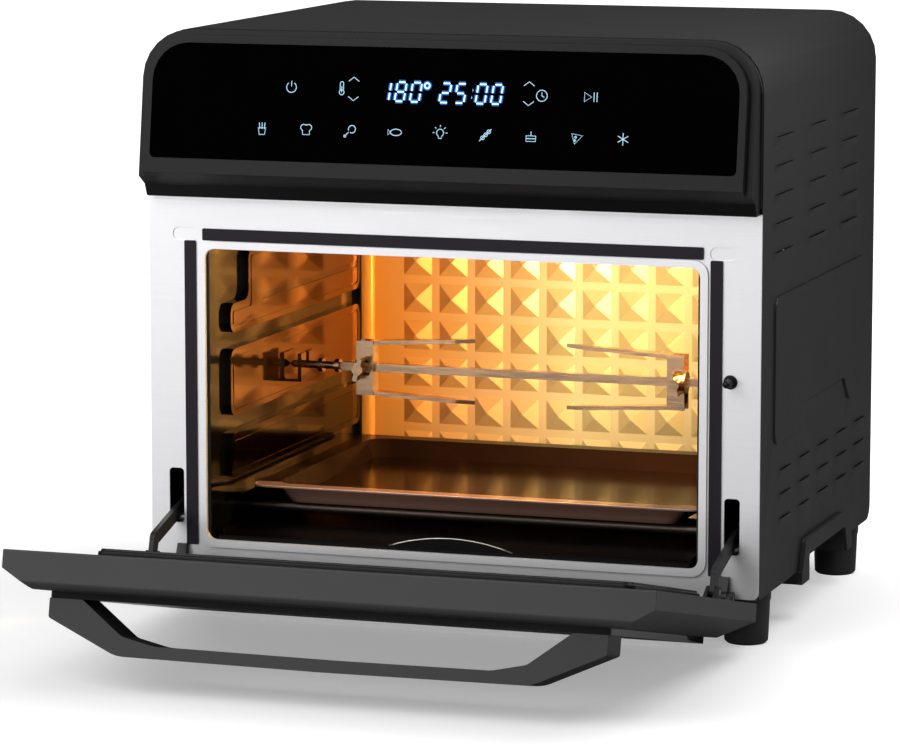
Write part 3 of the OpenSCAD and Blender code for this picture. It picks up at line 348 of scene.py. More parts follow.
def sheet_metal(
    name, rgb, roughness, pitch=0.0005, run=0.05, depth=0.00002, metallic=1.0, spread=0.06,
    painted_shade_from=NOWHERE,
):
    """Brushed or rolled metal with its lines along X, with black painted shade above the height
    painted_shade_from.
    """
    made = Finish(name, Metallic=metallic, Roughness=roughness)
    surface = made.use("Brushed lines", Line_Pitch=pitch, Line_Length=run)
    lines = surface["Lines"]
    metal = made.tint(lines, shade(rgb, 1 - spread), shade(rgb, 1 + spread))
    # painted shade: black above the height painted_shade_from
    above = add(made.tree, "ShaderNodeMath", operation="GREATER_THAN")
    above.inputs[1].default_value = painted_shade_from
    made.wire(made.axes()["Z"], above.inputs[0])
    made.feed(made.cover(metal, above.outputs[0], PAINTED_GAP_SHADE), "Base Color")
    made.vary(lines, roughness - ROUGHNESS_SPREAD, roughness + 0.07)
    made.bump(surface["Height"], 0.25, depth)
    return made.material


def cavity_metal(
    name, rgb, far_rgb, roughness, metallic, pale_from, dark_to=0.0, unshaded_from=0.001, beside_lamp=1.0,
    upper=1.0,
):
    """Heat-tinted steel with painted lamp light: rgb at the left and far_rgb from pale_from on, with painted
    shade darkening it towards the floor up to unshaded_from.

    beside_lamp and upper are its tones of painted shade beside the lamp and under the ceiling. Its outside is
    dark grey painted shade.
    """
    made = Finish(name, Metallic=metallic, Roughness=roughness)
    surface = made.use("Surface grain", Size=0.03, Patch_Size=0.09)
    axes = made.axes()
    shift = add(made.tree, "ShaderNodeMath", operation="MULTIPLY_ADD", use_clamp=True)
    shift.inputs[1].default_value = 0.3
    made.wire(surface["Patches"], shift.inputs[0])
    made.wire(made.span(axes["X"], CAVITY_LEFT, pale_from, 0.0, 1.0), shift.inputs[2])
    tinted = made.tint(shift.outputs[0], rgb, far_rgb)
    # painted shade: the steel darkens towards the floor, and then beside the lamp and under the ceiling
    share = made.span(axes["Z"], dark_to, unshaded_from, 0.02, 1.0, "SMOOTHSTEP")
    for axis, (start, end), tone in (("X", BESIDE_LAMP, beside_lamp), ("Z", UNDER_CEILING, upper)):
        both = add(made.tree, "ShaderNodeMath", operation="MULTIPLY")
        made.wire(share, both.inputs[0])
        made.wire(made.span(axes[axis], start, end, 1.0, tone), both.inputs[1])
        share = both.outputs[0]
    painted_shade_colour = made.dim(tinted, share)
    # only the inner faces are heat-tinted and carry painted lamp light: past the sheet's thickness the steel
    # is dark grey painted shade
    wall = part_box("cavity_right")[0][0]
    side = add(made.tree, "ShaderNodeMath", operation="ABSOLUTE")
    made.wire(axes["X"], side.inputs[0])
    outer = made.span(side.outputs[0], wall + TINT_DEPTH[0], wall + TINT_DEPTH[1], 0.0, 1.0)
    made.feed(made.cover(painted_shade_colour, outer, OUTSIDE_PAINTED_SHADE), "Base Color")
    made.vary(surface["Height"], roughness - ROUGHNESS_SPREAD, roughness + ROUGHNESS_SPREAD)
    return made.material


def gloss(name, rgb, roughness, **values):
    """A glossy surface with faint wiping marks."""
    made = Finish(name, Roughness=roughness, **values)
    made.wiping_marks(rgb, roughness)
    return made.material


def tray_enamel(name, rgb, painted_light_rgb, roughness):
    """Dark enamel, with painted light: a paler brown on the tray's front wall."""
    made = Finish(name, Roughness=roughness, Specular_IOR_Level=0.023)
    enamel = made.wiping_marks(rgb, roughness)
    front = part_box("baking_tray")[0][1]
    # painted light on the tray's front wall
    painted_light_mask = made.span(made.axes()["Y"], front + 0.015, front + 0.018, 1.0, 0.0)
    made.feed(made.cover(enamel, painted_light_mask, painted_light_rgb), "Base Color")
    return made.material


def lit(name, rgb, strength, up_to=NOWHERE):
    """A lit surface: its light comes from Emission Color, and none from beyond up_to along X."""
    made = Finish(name, Roughness=0.4, Emission_Strength=strength)
    surface = made.use("Surface grain", Size=0.002, Patch_Size=0.01)
    tinted = made.tint(surface["Patches"], shade(rgb, 0.9), rgb)
    inside = made.span(made.axes()["X"], up_to, up_to + 0.0002, 1.0, 0.0)
    made.feed(made.dim(tinted, inside), "Emission Color")
    return made.material


def make_materials(finish, display):
    """Every material of the oven by its slot's name, and those of the added pieces."""
    grain_group()
    brush_group()
    smudge_group()
    housing_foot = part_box("hood")[0][2]
    lamp_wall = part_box("cavity_right")[0][0]
    return {
        "shell_paint": plastic("Shell paint", tuple(finish.shell), 0.46, grain=0.0009, depth=0.00006),
        "zinc_sheet": sheet_metal("Zinc sheet", (0.45, 0.46, 0.47), 0.42),
        "grey_plastic": plastic("Grey plastic", (0.026, 0.026, 0.0265), 0.5),
        # the stainless is black above the housing's foot: painted shade in the gap behind the housing
        "stainless": sheet_metal(
            "Brushed stainless", tuple(finish.stainless), 0.42, pitch=0.0004, depth=0.000004, metallic=0.68,
            spread=0.02, painted_shade_from=housing_foot + 0.004,
        ),
        "gasket": plastic("Gasket rubber", (0.013, 0.010, 0.016), 0.5, shine=0.25),
        "black_plastic": plastic(
            "Housing plastic", tuple(finish.housing), 0.36, grain=0.0005, depth=0.00002, shine=0.27
        ),
        "control_glass": gloss("Control glass", (0.0003, 0.0003, 0.0004), 0.04, Specular_IOR_Level=0.05),
        "board": plastic("Circuit board", (0.02, 0.09, 0.03), 0.5),
        # the walls are painted darker towards the lamp on the right and under the ceiling: painted shade
        "cavity_steel": cavity_metal(
            "Cavity steel", tuple(finish.cavity), shade(finish.cavity, 0.8), 0.085, 0.95, 0.14,
            dark_to=0.095, unshaded_from=0.13, upper=0.35,
        ),
        # the back runs to a pale colour near the lamp, painted light, and is dimmed beside the lamp by painted
        # shade
        "cavity_back": cavity_metal(
            "Cavity back steel", tuple(finish.back), tuple(finish.back_painted_light), 0.38, 0.3, 0.02, beside_lamp=0.32
        ),
        "motor": sheet_metal("Motor casing", (0.35, 0.35, 0.36), 0.45),
        "heater": sheet_metal("Heating rod", (0.24, 0.18, 0.15), 0.45, pitch=0.002, run=0.004),
        "lamp_glass": lit("Lamp glass", (1.0, 0.66, 0.30), 2.0, up_to=lamp_wall),
        "ceramic": plastic("Lamp ceramic", (0.7, 0.68, 0.62), 0.5),
        # the spit's bronze colour is a painted warm reflection on its steel
        "spit_steel": sheet_metal(
            "Spit steel", (0.62, 0.40, 0.24), 0.2, pitch=0.0008, run=0.02, depth=0.000006
        ),
        # the paler brown on the tray's front wall is painted light
        "enamel": tray_enamel("Tray enamel", tuple(finish.enamel), (0.31, 0.165, 0.12), 0.16),
        "crumb_aluminium": gloss("Crumb tray", (0.003, 0.002, 0.002), 0.2, Specular_IOR_Level=0.12),
        "door_plastic": plastic("Door plastic", tuple(finish.door), 0.38),
        "door_glass": gloss("Door glass", (0.008, 0.008, 0.009), 0.03),
        "handle_plastic": plastic("Handle plastic", tuple(finish.handle), 0.4),
        "black_steel": plastic("Black steel", (0.010, 0.010, 0.010), 0.4),
        # painted highlights: the pale materials of the tray edges
        "edge": sheet_metal("Lip highlight", (0.80, 0.74, 0.68), 0.3),
        "rim": sheet_metal("Rim highlight", (0.75, 0.58, 0.50), 0.5, metallic=0.2),
        "digits": lit("Lit digits", tuple(display.glow), 1.35),
        "symbols": lit("Lit symbols", tuple(display.glow), 0.3),
        "halo": lit("Digit halo", tuple(display.halo), 0.45),
    }


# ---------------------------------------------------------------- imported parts

# Points this near are merged, and folds are dissolved or rounded under and over these angles
MERGE_WITHIN = 0.00002
FLAT_UNDER = math.radians(0.6)
SHARP_OVER = math.radians(24)


def put(name, mesh, material, smooth=False):
    """Puts a finished mesh of one material into the scene, in its own place."""
    mesh.materials.clear()
    mesh.materials.append(material)
    if smooth:
        for face in mesh.polygons:
            face.use_smooth = True
    piece = bpy.data.objects.new(name, mesh)
    bpy.context.scene.collection.objects.link(piece)
    return piece


def finished(name, shape, material, smooth=False):
    """Puts a bmesh into the scene as a piece of one material."""
    mesh = bpy.data.meshes.new(name)
    shape.to_mesh(mesh)
    shape.free()
    return put(name, mesh, material, smooth)


def softened(name, width, material, smooth_to=38):
    """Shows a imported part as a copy, its sharp edges rounded by width and smooth up to smooth_to degrees."""
    shape = bmesh.new()
    shape.from_mesh(frame["nodes"][name].data)
    bmesh.ops.remove_doubles(shape, verts=shape.verts, dist=MERGE_WITHIN)
    bmesh.ops.dissolve_limit(
        shape, angle_limit=FLAT_UNDER, use_dissolve_boundaries=False, verts=shape.verts, edges=shape.edges
    )
    bmesh.ops.recalc_face_normals(shape, faces=shape.faces)
    if width > 0:
        folds = [edge for edge in shape.edges if len(edge.link_faces) == 2]
        bmesh.ops.bevel(
            shape, geom=[edge for edge in folds if edge.calc_face_angle() > SHARP_OVER], offset=width,
            offset_type="OFFSET", segments=2, profile=0.5, material=-1, affect="EDGES", clamp_overlap=True,
        )
    bmesh.ops.triangulate(shape, faces=[face for face in shape.faces if len(face.verts) > 4])
    piece = finished(name + "_soft", shape, material, smooth=True)
    piece.data.set_sharp_from_angle(angle=math.radians(smooth_to))
    # the large flat faces keep their own normals, and only the rounded edges turn
    level = piece.modifiers.new("Flat faces", "WEIGHTED_NORMAL")
    level.mode = "FACE_AREA"
    level.weight = 50
    level.keep_sharp = True
    bodies = frame["record"]["behaviour"]["bodies"]
    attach(piece, next(body for body, nodes in bodies.items() if name in nodes))
    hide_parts(name)


class OVEN_OT_finishes(bpy.types.Operator):
    """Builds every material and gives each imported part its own"""

    bl_idname = "oven.finishes"
    bl_label = "Finishes"
    bl_options = {"REGISTER", "UNDO"}

    def execute(self, context):
        materials = make_materials(context.scene.oven_finish, context.scene.oven_display)
        slots = {entry["node"]: entry["material_slot"] for entry in frame["record"]["subparts"]}
        for name, node in frame["nodes"].items():
            node.data.materials.clear()
            node.data.materials.append(materials[slots[name]])
        frame["nodes"]["cavity_back"].data.materials[0] = materials["cavity_back"]
        return {"FINISHED"}


class OVEN_OT_edges(bpy.types.Operator):
    """Rounds the sharp edges of the moulded and pressed parts and smooths the shell's corners"""

    bl_idname = "oven.edges"
    bl_label = "Rounded edges"
    bl_options = {"REGISTER", "UNDO"}

    def execute(self, context):
        width = context.scene.oven_finish.edge
        # each part's share of the edge width
        shares = {
            "hood": 1.0, "door_frame": 1.6, "door_handle": 1.4, "cavity_left": 1.0, "cavity_right": 1.0,
            "cavity_back": 2.4, "baking_tray": 0.6, "side_handle_left": 1.0, "side_handle_right": 1.0,
            "front_frame": 0.5, "inner_frame": 0.8,
        }
        for name, share in shares.items():
            softened(name, share * width, frame["nodes"][name].data.materials[0])
        # the shell's round corners are smooth, and the folds of its louvres stay crisp
        softened("outer_shell", 0.0, frame["nodes"]["outer_shell"].data.materials[0], smooth_to=14)
        return {"FINISHED"}


# ---------------------------------------------------------------- wires and strips


def tube(name, points, radius, material, sides=8):
    """A thin round wire through the points."""
    shape = bmesh.new()
    rings = []
    for index, point in enumerate(points):
        before = Vector(points[max(index - 1, 0)])
        after = Vector(points[min(index + 1, len(points) - 1)])
        turn = (after - before).to_track_quat("Z", "Y").to_matrix()
        ring = []
        for side in range(sides):
            angle = 2 * math.pi * side / sides
            spoke = Vector((math.cos(angle), math.sin(angle), 0))
            ring.append(shape.verts.new(Vector(point) + turn @ spoke * radius))
        rings.append(ring)
    for first, second in zip(rings, rings[1:]):
        for side in range(sides):
            following = (side + 1) % sides
            shape.faces.new((first[side], first[following], second[following], second[side]))
    shape.faces.new(list(reversed(rings[0])))
    shape.faces.new(rings[-1])
    bmesh.ops.recalc_face_normals(shape, faces=shape.faces)
    return finished(name, shape, material, smooth=True)


def arc(centre, radius, start, end, count=14, squash=1.0):
    """Points of an arc in degrees."""
    turns = (math.radians(start + (end - start) * step / count) for step in range(count + 1))
    return [(centre[0] + radius * math.cos(t), centre[1] + squash * radius * math.sin(t)) for t in turns]


def mirrored(points):
    """A line of points on one side, carried on to its mirror image on the other."""
    return points + [(-x, y, z) for x, y, z in reversed(points)]


def strips(name, pairs, material):
    """One piece made of flat strips, each given by two opposite corners."""
    shape = bmesh.new()
    for low, high in pairs:
        middle = [(a + b) / 2 for a, b in zip(low, high)]
        size = [b - a for a, b in zip(low, high)]
        place = Matrix.Translation(middle) @ Matrix.Diagonal((*size, 1.0))
        bmesh.ops.create_cube(shape, size=1.0, matrix=place)
    return finished(name, shape, material)


class OVEN_OT_seams(bpy.types.Operator):
    """Closes the hairline seams outside the cavity's walls and behind the housing, so that no light passes"""

    bl_idname = "oven.seams"
    bl_label = "Seams"
    bl_options = {"REGISTER", "UNDO"}

    def execute(self, context):
        wall_low, wall_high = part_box("cavity_right")
        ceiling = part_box("cavity_ceiling")[1]
        gap = 0.0001  # between a strip and the sheets
        thick = 0.0012
        deep = 0.0025  # how far a strip reaches past the edge that it covers
        front = wall_low[1] - 0.00025
        pairs = []
        for side in (-1, 1):
            near, far = side * (ceiling[0] + gap), side * (ceiling[0] + gap + thick)
            inner, outer = min(near, far), max(near, far)
            pairs.append(((inner, front, wall_high[2] - deep), (outer, wall_high[1], ceiling[2])))
            pairs.append((
                (inner, front, wall_low[2] + 0.001), (outer, wall_low[1] + deep, wall_high[2] - deep - gap)
            ))
        over = ceiling[2] + gap
        pairs.append(((-ceiling[0], front, over), (ceiling[0], wall_low[1] + deep, over + thick)))
        piece = strips("cavity_seams", pairs, frame["nodes"]["cavity_ceiling"].data.materials[0])
        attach(piece, "cabinet")

        # a rubber cord behind the housing closes the seam between the front frame and the shell, so that no
        # light passes, and its dark colour is painted shade in the gap
        hood_low, hood_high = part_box("hood")
        shell_low, shell_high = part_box("outer_shell")
        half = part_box("front_frame")[1][0]
        bend = 0.031  # radius of the shell's corner
        inset = 0.0012  # of the cord's middle from the outline
        radius = 0.0008
        place = (hood_high[1] + shell_low[1]) / 2
        corner = arc((half - bend, shell_high[2] - bend), bend - inset, 0, 90, 12)
        points = [(half - inset, place, hood_low[2] + 0.004)] + [(x, place, z) for x, z in corner]
        cord = tube("hood_gap_cord", mirrored(points), radius, frame["nodes"]["gasket_top"].data.materials[0])
        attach(cord, "cabinet")
        return {"FINISHED"}


class OVEN_OT_lip(bpy.types.Operator):
    """Adds painted highlights along the front edges of the crumb tray and the baking tray"""

    bl_idname = "oven.lip"
    bl_label = "Tray edges"
    bl_options = {"REGISTER", "UNDO"}

    def execute(self, context):
        node = frame["nodes"]["crumb_tray"]
        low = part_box("crumb_tray")[0]
        thick = 0.0009  # of the tray's sheet
        radius = 0.00055
        half = 0.0395  # of the lip's width
        floor = low[2] + 0.002
        # the lip's upper edge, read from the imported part: its highest point at each place along X
        face = low[1] + thick + 0.0001
        front = [v.co for v in node.data.vertices if v.co.y < face and abs(v.co.x) < half]
        tops = {}
        for point in front:
            key = round(point.x, 5)
            tops[key] = max(tops.get(key, 0.0), point.z)
        places = sorted((x, z) for x, z in tops.items() if z > floor)
        if len(places) < 5:
            raise RuntimeError("The crumb tray's front lip wasn't found")
        points = [(x, low[1] + thick / 2, z - radius) for x, z in places]
        # painted highlight: a pale wire along the lip's upper edge
        piece = tube("crumb_lip_highlight", points, radius, bpy.data.materials["Lip highlight"])
        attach(piece, "crumb_tray")

        # a pale bead along the baking tray's front rim: a painted highlight along its front edge
        low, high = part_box("baking_tray")
        radius = 0.0006
        corner = 0.012
        rim = high[2] - radius / 2
        bend = arc((corner - high[0], low[1] + corner), corner - radius, 180, 270, 6)
        points = mirrored([(x, y, rim) for x, y in bend])
        piece = tube("tray_rim_highlight", points, radius, bpy.data.materials["Rim highlight"])
        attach(piece, "baking_tray")
        return {"FINISHED"}


# ---------------------------------------------------------------- touch display

LEAN = math.radians(8.3)  # lean of the control glass back from upright
GLASS_THICKNESS = 0.003
SYMBOL_HALF = 0.0036  # half a touch symbol's height
SLANT = 0.14  # of the digits

# Lit bars of each digit: top, upper left, upper right, middle, lower left, lower right, bottom
SEGMENTS = {
    "0": "1110111", "1": "0010010", "2": "1011101", "3": "1011011", "4": "0111010",
    "5": "1101011", "6": "1101111", "7": "1010010", "8": "1111111", "9": "1111011",
}

# The bars' ends in the same order: across in widths, up in half heights
BAR_ENDS = (
    ((0, 2), (1, 2)), ((0, 1), (0, 2)), ((1, 1), (1, 2)), ((0, 1), (1, 1)),
    ((0, 0), (0, 1)), ((1, 0), (1, 1)), ((0, 0), (1, 0)),
)

# Where the touch signs stand: across in halves of the glass's width, up in its height
UPPER_ROW = 0.635
LOWER_ROW = 0.275
LOWER_PITCH = 0.154
LOWER_SIGNS = ("fries", "bread", "drumstick", "fish", "lamp", "kebab", "cake", "slice", "thaw")


def glass_matrix():
    """From the glass's own plane, X across and Y up from its lower edge, Z outwards, to the row frame."""
    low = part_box("control_glass")[0]
    foot = Vector((0.0, low[1], low[2] + GLASS_THICKNESS * math.sin(LEAN)))
    return Matrix.Translation(foot) @ Euler((math.pi / 2 - LEAN, 0.0, 0.0)).to_matrix().to_4x4()


def line_piece(name, strokes, width, material, proud=0.0001):
    """A flat piece of round-ended lines on the glass.

    Strokes are lists of points; closed ones end where they start.
    """
    curve = bpy.data.curves.new(name, "CURVE")
    curve.dimensions = "3D"
    curve.bevel_depth = width / 2
    curve.bevel_resolution = 2
    curve.use_fill_caps = True
    for points in strokes:
        closed = len(points) > 2 and (Vector(points[0]) - Vector(points[-1])).length < 1e-7
        if closed:
            points = points[:-1]
        spline = curve.splines.new("POLY")
        spline.points.add(len(points) - 1)
        for place, point in zip(spline.points, points):
            place.co = (*point, 0.0, 1.0)
        spline.use_cyclic_u = closed
    drawn = bpy.data.objects.new(name + "_curve", curve)
    bpy.context.scene.collection.objects.link(drawn)
    bpy.context.view_layer.update()
    mesh = bpy.data.meshes.new_from_object(drawn.evaluated_get(bpy.context.evaluated_depsgraph_get()))
    bpy.data.objects.remove(drawn)
    bpy.data.curves.remove(curve)
    # the round lines are pressed flat, a little proud of the glass
    flatten = Matrix.Diagonal((1.0, 1.0, 2 * proud / width, 1.0))
    mesh.transform(glass_matrix() @ flatten)
    mesh.name = name
    return put(name, mesh, material)


def digit(character, x, y, height):
    """The lit bars of one slanted digit, its lower left corner at x, y."""
    wide, trim = 0.5 * height, 0.0675 * height
    bars = []
    for lit_bar, ends in zip(SEGMENTS[character], BAR_ENDS):
        if lit_bar == "0":
            continue
        first, last = (Vector((across * wide, up * height / 2)) for across, up in ends)
        cut = (last - first).normalized() * trim
        bars.append([(x + spot.x + SLANT * spot.y, y + spot.y) for spot in (first + cut, last - cut)])
    return bars


def readout(text, x, y, height):
    """The bars of a row of digits and colons. Returns them and the place after the last one."""
    bars = []
    for character in text:
        if character == ":":
            for lift in (0.3, 0.68):
                spot = (x + 0.04 * height + SLANT * lift * height, y + lift * height)
                bars.append([spot, (spot[0] + 0.0002, spot[1])])
            x += 0.3 * height
        else:
            bars += digit(character, x, y, height)
            x += 0.84 * height
    return bars, x


def chevron(x, y, rise, half=0.0032):
    """A pointer up or, with a negative rise, down."""
    return [(x - half, y), (x, y + rise), (x + half, y)]


def ray(angle, start, end, lift=0.0):
    """A line from start to end along an angle in degrees."""
    turn = math.radians(angle)
    return [(reach * math.cos(turn), reach * math.sin(turn) + lift) for reach in (start, end)]


# The touch symbols as strokes round their own centre, where 1 is half a symbol's height
SYMBOLS = {
    "fries": [
        [(-0.65, 0.1), (-0.45, -1.0), (0.45, -1.0), (0.65, 0.1), (-0.65, 0.1)],
        *([(x, -0.1), (1.25 * x, 0.95)] for x in (-0.4, 0.0, 0.4)),
    ],
    "bread": [
        arc((-0.45, 0.35), 0.5, 60, 250) + [(-0.6, -0.8), (0.6, -0.8)]
        + arc((0.45, 0.35), 0.5, -70, 120) + arc((-0.45, 0.35), 0.5, 60, 250)[:1],
    ],
    "drumstick": [
        arc((0.25, 0.3), 0.62, -120, 200), [(-0.3, -0.2), (-0.85, -0.75)],
        arc((-0.95, -0.85), 0.18, 0, 360, 8),
    ],
    "fish": [
        arc((0.15, 0.0), 0.95, 0, 360, 20, squash=0.55),
        [(-0.8, 0.0), (-1.25, 0.45), (-1.25, -0.45), (-0.8, 0.0)],
    ],
    "lamp": [
        arc((0.0, 0.15), 0.6, -60, 240), [(-0.28, -0.75), (0.28, -0.75)],
        [(-0.28, -0.4), (-0.28, -0.6)], [(0.28, -0.4), (0.28, -0.6)],
        *(ray(angle, 0.95, 1.25, lift=0.15) for angle in (0, 45, 90, 135, 180)),
    ],
    "kebab": [
        [(-1.0, -1.0), (1.0, 1.0)], *(arc((place, place), 0.3, 0, 360, 10) for place in (-0.45, 0.05, 0.55)),
    ],
    "cake": [
        [(-0.8, -0.8), (0.8, -0.8), (0.8, 0.1), (-0.8, 0.1), (-0.8, -0.8)],
        [(-0.8, -0.35), (0.8, -0.35)], [(0.0, 0.1), (0.0, 0.8)],
    ],
    "slice": [
        [(-0.85, 0.65), (0.95, 0.35), (-0.35, -1.0), (-0.85, 0.65)],
        arc((-0.2, 0.1), 0.16, 0, 360, 8), arc((-0.3, -0.42), 0.13, 0, 360, 8),
    ],
    "thaw": [ray(angle, -1.0, 1.0) for angle in (30, 90, 150)],
    "power": [arc((0.0, 0.0), 0.85, 125, 415, 18), [(0.0, 0.15), (0.0, 1.05)]],
    "heat": [
        [(-0.28, -0.2)] + arc((0.0, 0.85), 0.28, 180, 0, 6) + [(0.28, -0.2)],
        arc((0.0, -0.6), 0.42, 0, 360, 12), [(0.0, -0.6), (0.0, 0.4)],
    ],
    "clock": [arc((0.0, 0.0), 0.9, 0, 360, 18), [(0.0, 0.55), (0.0, 0.0), (0.4, -0.25)]],
    "start": [
        [(-1.1, 0.75), (0.1, 0.0), (-1.1, -0.75), (-1.1, 0.75)],
        [(0.5, 0.75), (0.5, -0.75)], [(1.0, 0.75), (1.0, -0.75)],
    ],
}


def symbol(name, x, y):
    """The strokes of one touch symbol with its centre at x, y."""
    return [
        [(x + SYMBOL_HALF * across, y + SYMBOL_HALF * up) for across, up in line] for line in SYMBOLS[name]
    ]


class OVEN_OT_display(bpy.types.Operator):
    """Draws the lit digits and the touch symbols on the control glass"""

    bl_idname = "oven.display"
    bl_label = "Touch display"
    bl_options = {"REGISTER", "UNDO"}

    def execute(self, context):
        settings = context.scene.oven_display
        low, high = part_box("control_glass")
        half = (high[0] - low[0]) / 2
        height = (high[2] - low[2]) / math.cos(LEAN)
        materials = bpy.data.materials

        # the readout stands over the middle of the glass, with a degree sign after the temperature
        size = settings.digit_height
        base = 0.54 * height
        digits, end = readout(settings.temperature, -0.205 * half, base, size)
        digits.append(arc((end + 0.001, base + 0.85 * size), 0.0016, 0, 360, 10))
        digits += readout(settings.clock, 0.0, base, size)[0]
        halo = 2.6 * settings.bar

        row = UPPER_ROW * height
        marks = symbol("power", -0.511 * half, row) + symbol("heat", -0.336 * half, row)
        marks += symbol("clock", 0.347 * half, row - 0.001) + symbol("start", 0.512 * half, row - 0.001)
        for x in (-0.295 * half, 0.303 * half):
            marks.append(chevron(x, row + 0.0045, 0.0024))
            marks.append(chevron(x, row - 0.0045, -0.0024))
        for index, name in enumerate(LOWER_SIGNS):
            marks += symbol(name, (index - 4) * LOWER_PITCH * half + 0.0015, LOWER_ROW * height)

        pieces = (
            line_piece("display_digits", digits, settings.bar, materials["Lit digits"], proud=0.00016),
            line_piece("display_halo", digits, halo, materials["Digit halo"], proud=0.00006),
            line_piece("touch_symbols", marks, settings.line, materials["Lit symbols"]),
        )
        for piece in pieces:
            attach(piece, "cabinet")
        return {"FINISHED"}


# ---------------------------------------------------------------- studio

WHITE = (1.0, 1.0, 1.0, 1.0)
LAMP_COLOUR = (1.0, 0.65, 0.21)
SHADOW_MIDDLE = (-0.05, -0.16, 0.0)
FLOOR_HALF = 8.0


def area_lamp(name, place, target, size, power, rgb=(1.0, 1.0, 1.0)):
    """A soft rectangular lamp that faces its target."""
    data = bpy.data.lights.new(name, "AREA")
    data.shape = "RECTANGLE"
    data.size, data.size_y = size
    data.energy = power
    data.color = rgb
    lamp = bpy.data.objects.new(name, data)
    lamp.location = place
    lamp.rotation_euler = (Vector(target) - Vector(place)).to_track_quat("-Z", "Y").to_euler()
    bpy.context.scene.collection.objects.link(lamp)


def stage_material():
    """Pale floor: it keeps the shadow near the oven and turns to plain white further out."""
    material = bpy.data.materials.new("Studio floor")
    material.use_nodes = True
    tree = material.node_tree
    tree.nodes.clear()
    out = add(tree, "ShaderNodeOutputMaterial")
    diffuse = add(tree, "ShaderNodeBsdfDiffuse")
    path = add(tree, "ShaderNodeLightPath")
    pale = add(tree, "ShaderNodeMapRange", To_Min=0.3, To_Max=0.8)
    tree.links.new(path.outputs["Is Camera Ray"], pale.inputs["Value"])
    tree.links.new(pale.outputs["Result"], diffuse.inputs["Color"])
    shine = add(tree, "ShaderNodeEmission")
    shine.inputs["Color"].default_value = WHITE
    place = add(tree, "ShaderNodeTexCoord")
    reach = add(tree, "ShaderNodeVectorMath", operation="DISTANCE")
    reach.inputs[1].default_value = SHADOW_MIDDLE
    tree.links.new(place.outputs["Object"], reach.inputs[0])
    level = add(tree, "ShaderNodeMapRange", From_Min=0.3, From_Max=0.75, To_Min=0.34, To_Max=1.0)
    level.interpolation_type = "SMOOTHSTEP"
    tree.links.new(reach.outputs["Value"], level.inputs["Value"])
    strength = add(tree, "ShaderNodeMath", operation="MULTIPLY")
    tree.links.new(path.outputs["Is Camera Ray"], strength.inputs[0])
    tree.links.new(level.outputs["Result"], strength.inputs[1])
    tree.links.new(strength.outputs[0], shine.inputs["Strength"])
    both = add(tree, "ShaderNodeAddShader")
    tree.links.new(diffuse.outputs[0], both.inputs[0])
    tree.links.new(shine.outputs[0], both.inputs[1])
    tree.links.new(both.outputs[0], out.inputs["Surface"])
    return material


def studio_world(scene):
    """White behind all that the camera and glass see, and a plain low light from all round."""
    world = bpy.data.worlds.new("Studio")
    scene.world = world
    world.use_nodes = True
    tree = world.node_tree
    background = tree.nodes["Background"]
    background.inputs["Color"].default_value = WHITE
    path = add(tree, "ShaderNodeLightPath")
    seen = add(tree, "ShaderNodeMath", operation="MAXIMUM")
    tree.links.new(path.outputs["Is Camera Ray"], seen.inputs[0])
    tree.links.new(path.outputs["Is Transmission Ray"], seen.inputs[1])
    level = add(tree, "ShaderNodeMapRange", To_Min=0.38, To_Max=0.12)
    tree.links.new(path.outputs["Is Glossy Ray"], level.inputs["Value"])
    strength = add(tree, "ShaderNodeMath", operation="MAXIMUM")
    tree.links.new(seen.outputs[0], strength.inputs[0])
    tree.links.new(level.outputs["Result"], strength.inputs[1])
    tree.links.new(strength.outputs[0], background.inputs["Strength"])


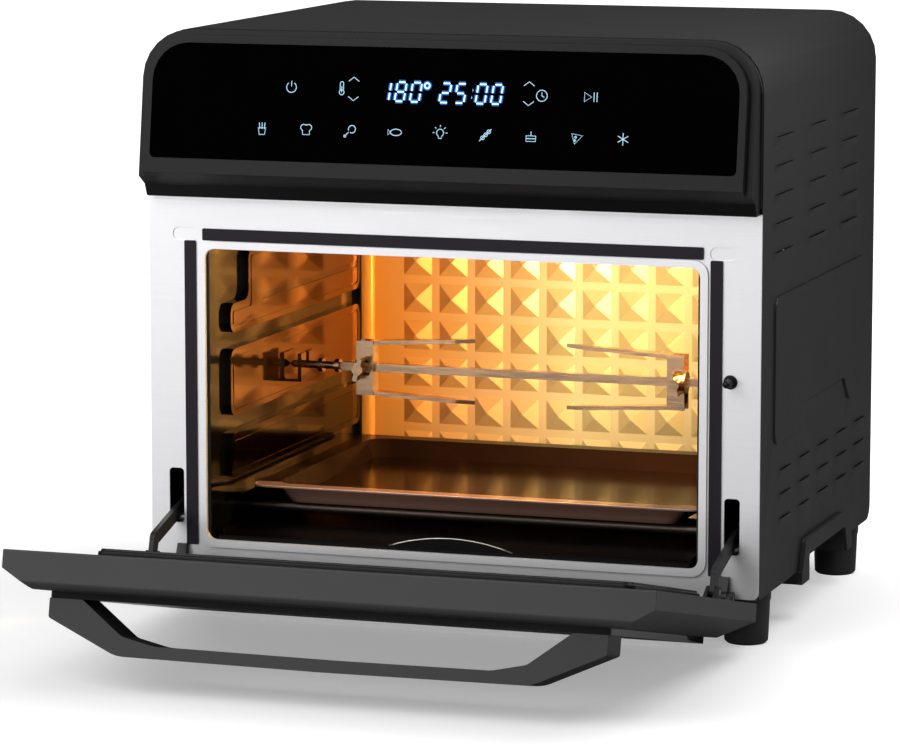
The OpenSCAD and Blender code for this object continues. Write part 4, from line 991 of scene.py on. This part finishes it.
class OVEN_OT_stage(bpy.types.Operator):
    """Sets up the floor, the lamps and the camera"""

    bl_idname = "oven.stage"
    bl_label = "Studio"
    bl_options = {"REGISTER", "UNDO"}

    def execute(self, context):
        scene = context.scene
        settings = scene.oven_studio
        scene.view_settings.view_transform = "Standard"

        shape = bmesh.new()
        bmesh.ops.create_grid(shape, x_segments=1, y_segments=1, size=FLOOR_HALF)
        floor = finished("studio_floor", shape, stage_material())

        studio_world(scene)
        middle = (0.0, 0.0, 0.15)
        area_lamp("key_lamp", (-1.3, -1.9, 1.9), middle, (2.4, 1.9), settings.key_power)
        area_lamp("fill_lamp", (0.42, 0.03, 0.5), (0.19, 0.0, 0.3), (0.3, 0.3), settings.fill_power)
        area_lamp("top_lamp", (0.1, 0.2, 2.2), middle, (1.8, 1.8), settings.top_power)
        area_lamp("card_lamp", (-0.9, -2.0, 0.05), (-0.1, 0.0, 0.25), (2.0, 0.7), settings.card_power)

        # the oven's own lamp stands nearer the front than its lens and shines across to the left
        low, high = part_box("lamp_lens")
        y, z = ((low[axis] + high[axis]) / 2 for axis in (1, 2))
        area_lamp("oven_lamp", (low[0] - 0.03, y - 0.11, z), (-0.09, y + 0.06, 0.13), (0.05, 0.05),
                  settings.cavity_power, LAMP_COLOUR)

        data = bpy.data.cameras.new("Camera")
        data.lens = settings.camera_lens
        data.sensor_width = 36.0
        data.clip_end = 50.0
        camera = bpy.data.objects.new("Camera", data)
        camera.location = settings.camera_place
        camera.rotation_euler = (math.pi / 2 - settings.camera_tilt, 0.0, settings.camera_turn)
        scene.collection.objects.link(camera)
        scene.camera = camera
        return {"FINISHED"}


# ---------------------------------------------------------------- add-on


class OVEN_PT_panel(bpy.types.Panel):
    """Lists the oven's steps and settings"""

    bl_idname = "OVEN_PT_panel"
    bl_label = "Rotisserie Oven"
    bl_space_type = "VIEW_3D"
    bl_region_type = "UI"
    bl_category = "Oven"

    def draw(self, context):
        layout = self.layout
        for step in STEPS:
            layout.operator(step.bl_idname)
        for group_name in ("oven_finish", "oven_display", "oven_studio"):
            settings = getattr(context.scene, group_name)
            box = layout.box()
            for name in settings.__annotations__:
                box.prop(settings, name)


STEPS = (OVEN_OT_finishes, OVEN_OT_edges, OVEN_OT_seams, OVEN_OT_lip, OVEN_OT_display, OVEN_OT_stage)
GROUPS = {
    "oven_finish": OvenFinishSettings,
    "oven_display": OvenDisplaySettings,
    "oven_studio": OvenStudioSettings,
}
CLASSES = (*GROUPS.values(), *STEPS, OVEN_PT_panel)


def register():
    for cls in CLASSES:
        bpy.utils.register_class(cls)
    for name, cls in GROUPS.items():
        setattr(bpy.types.Scene, name, bpy.props.PointerProperty(type=cls))


def unregister():
    for name in GROUPS:
        delattr(bpy.types.Scene, name)
    for cls in reversed(CLASSES):
        bpy.utils.unregister_class(cls)


def main():
    """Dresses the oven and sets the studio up."""
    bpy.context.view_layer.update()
    register()
    bpy.ops.oven.finishes()
    bpy.ops.oven.edges()
    bpy.ops.oven.seams()
    bpy.ops.oven.lip()
    bpy.ops.oven.display()
    bpy.ops.oven.stage()


if __name__ == "__main__":
    main()
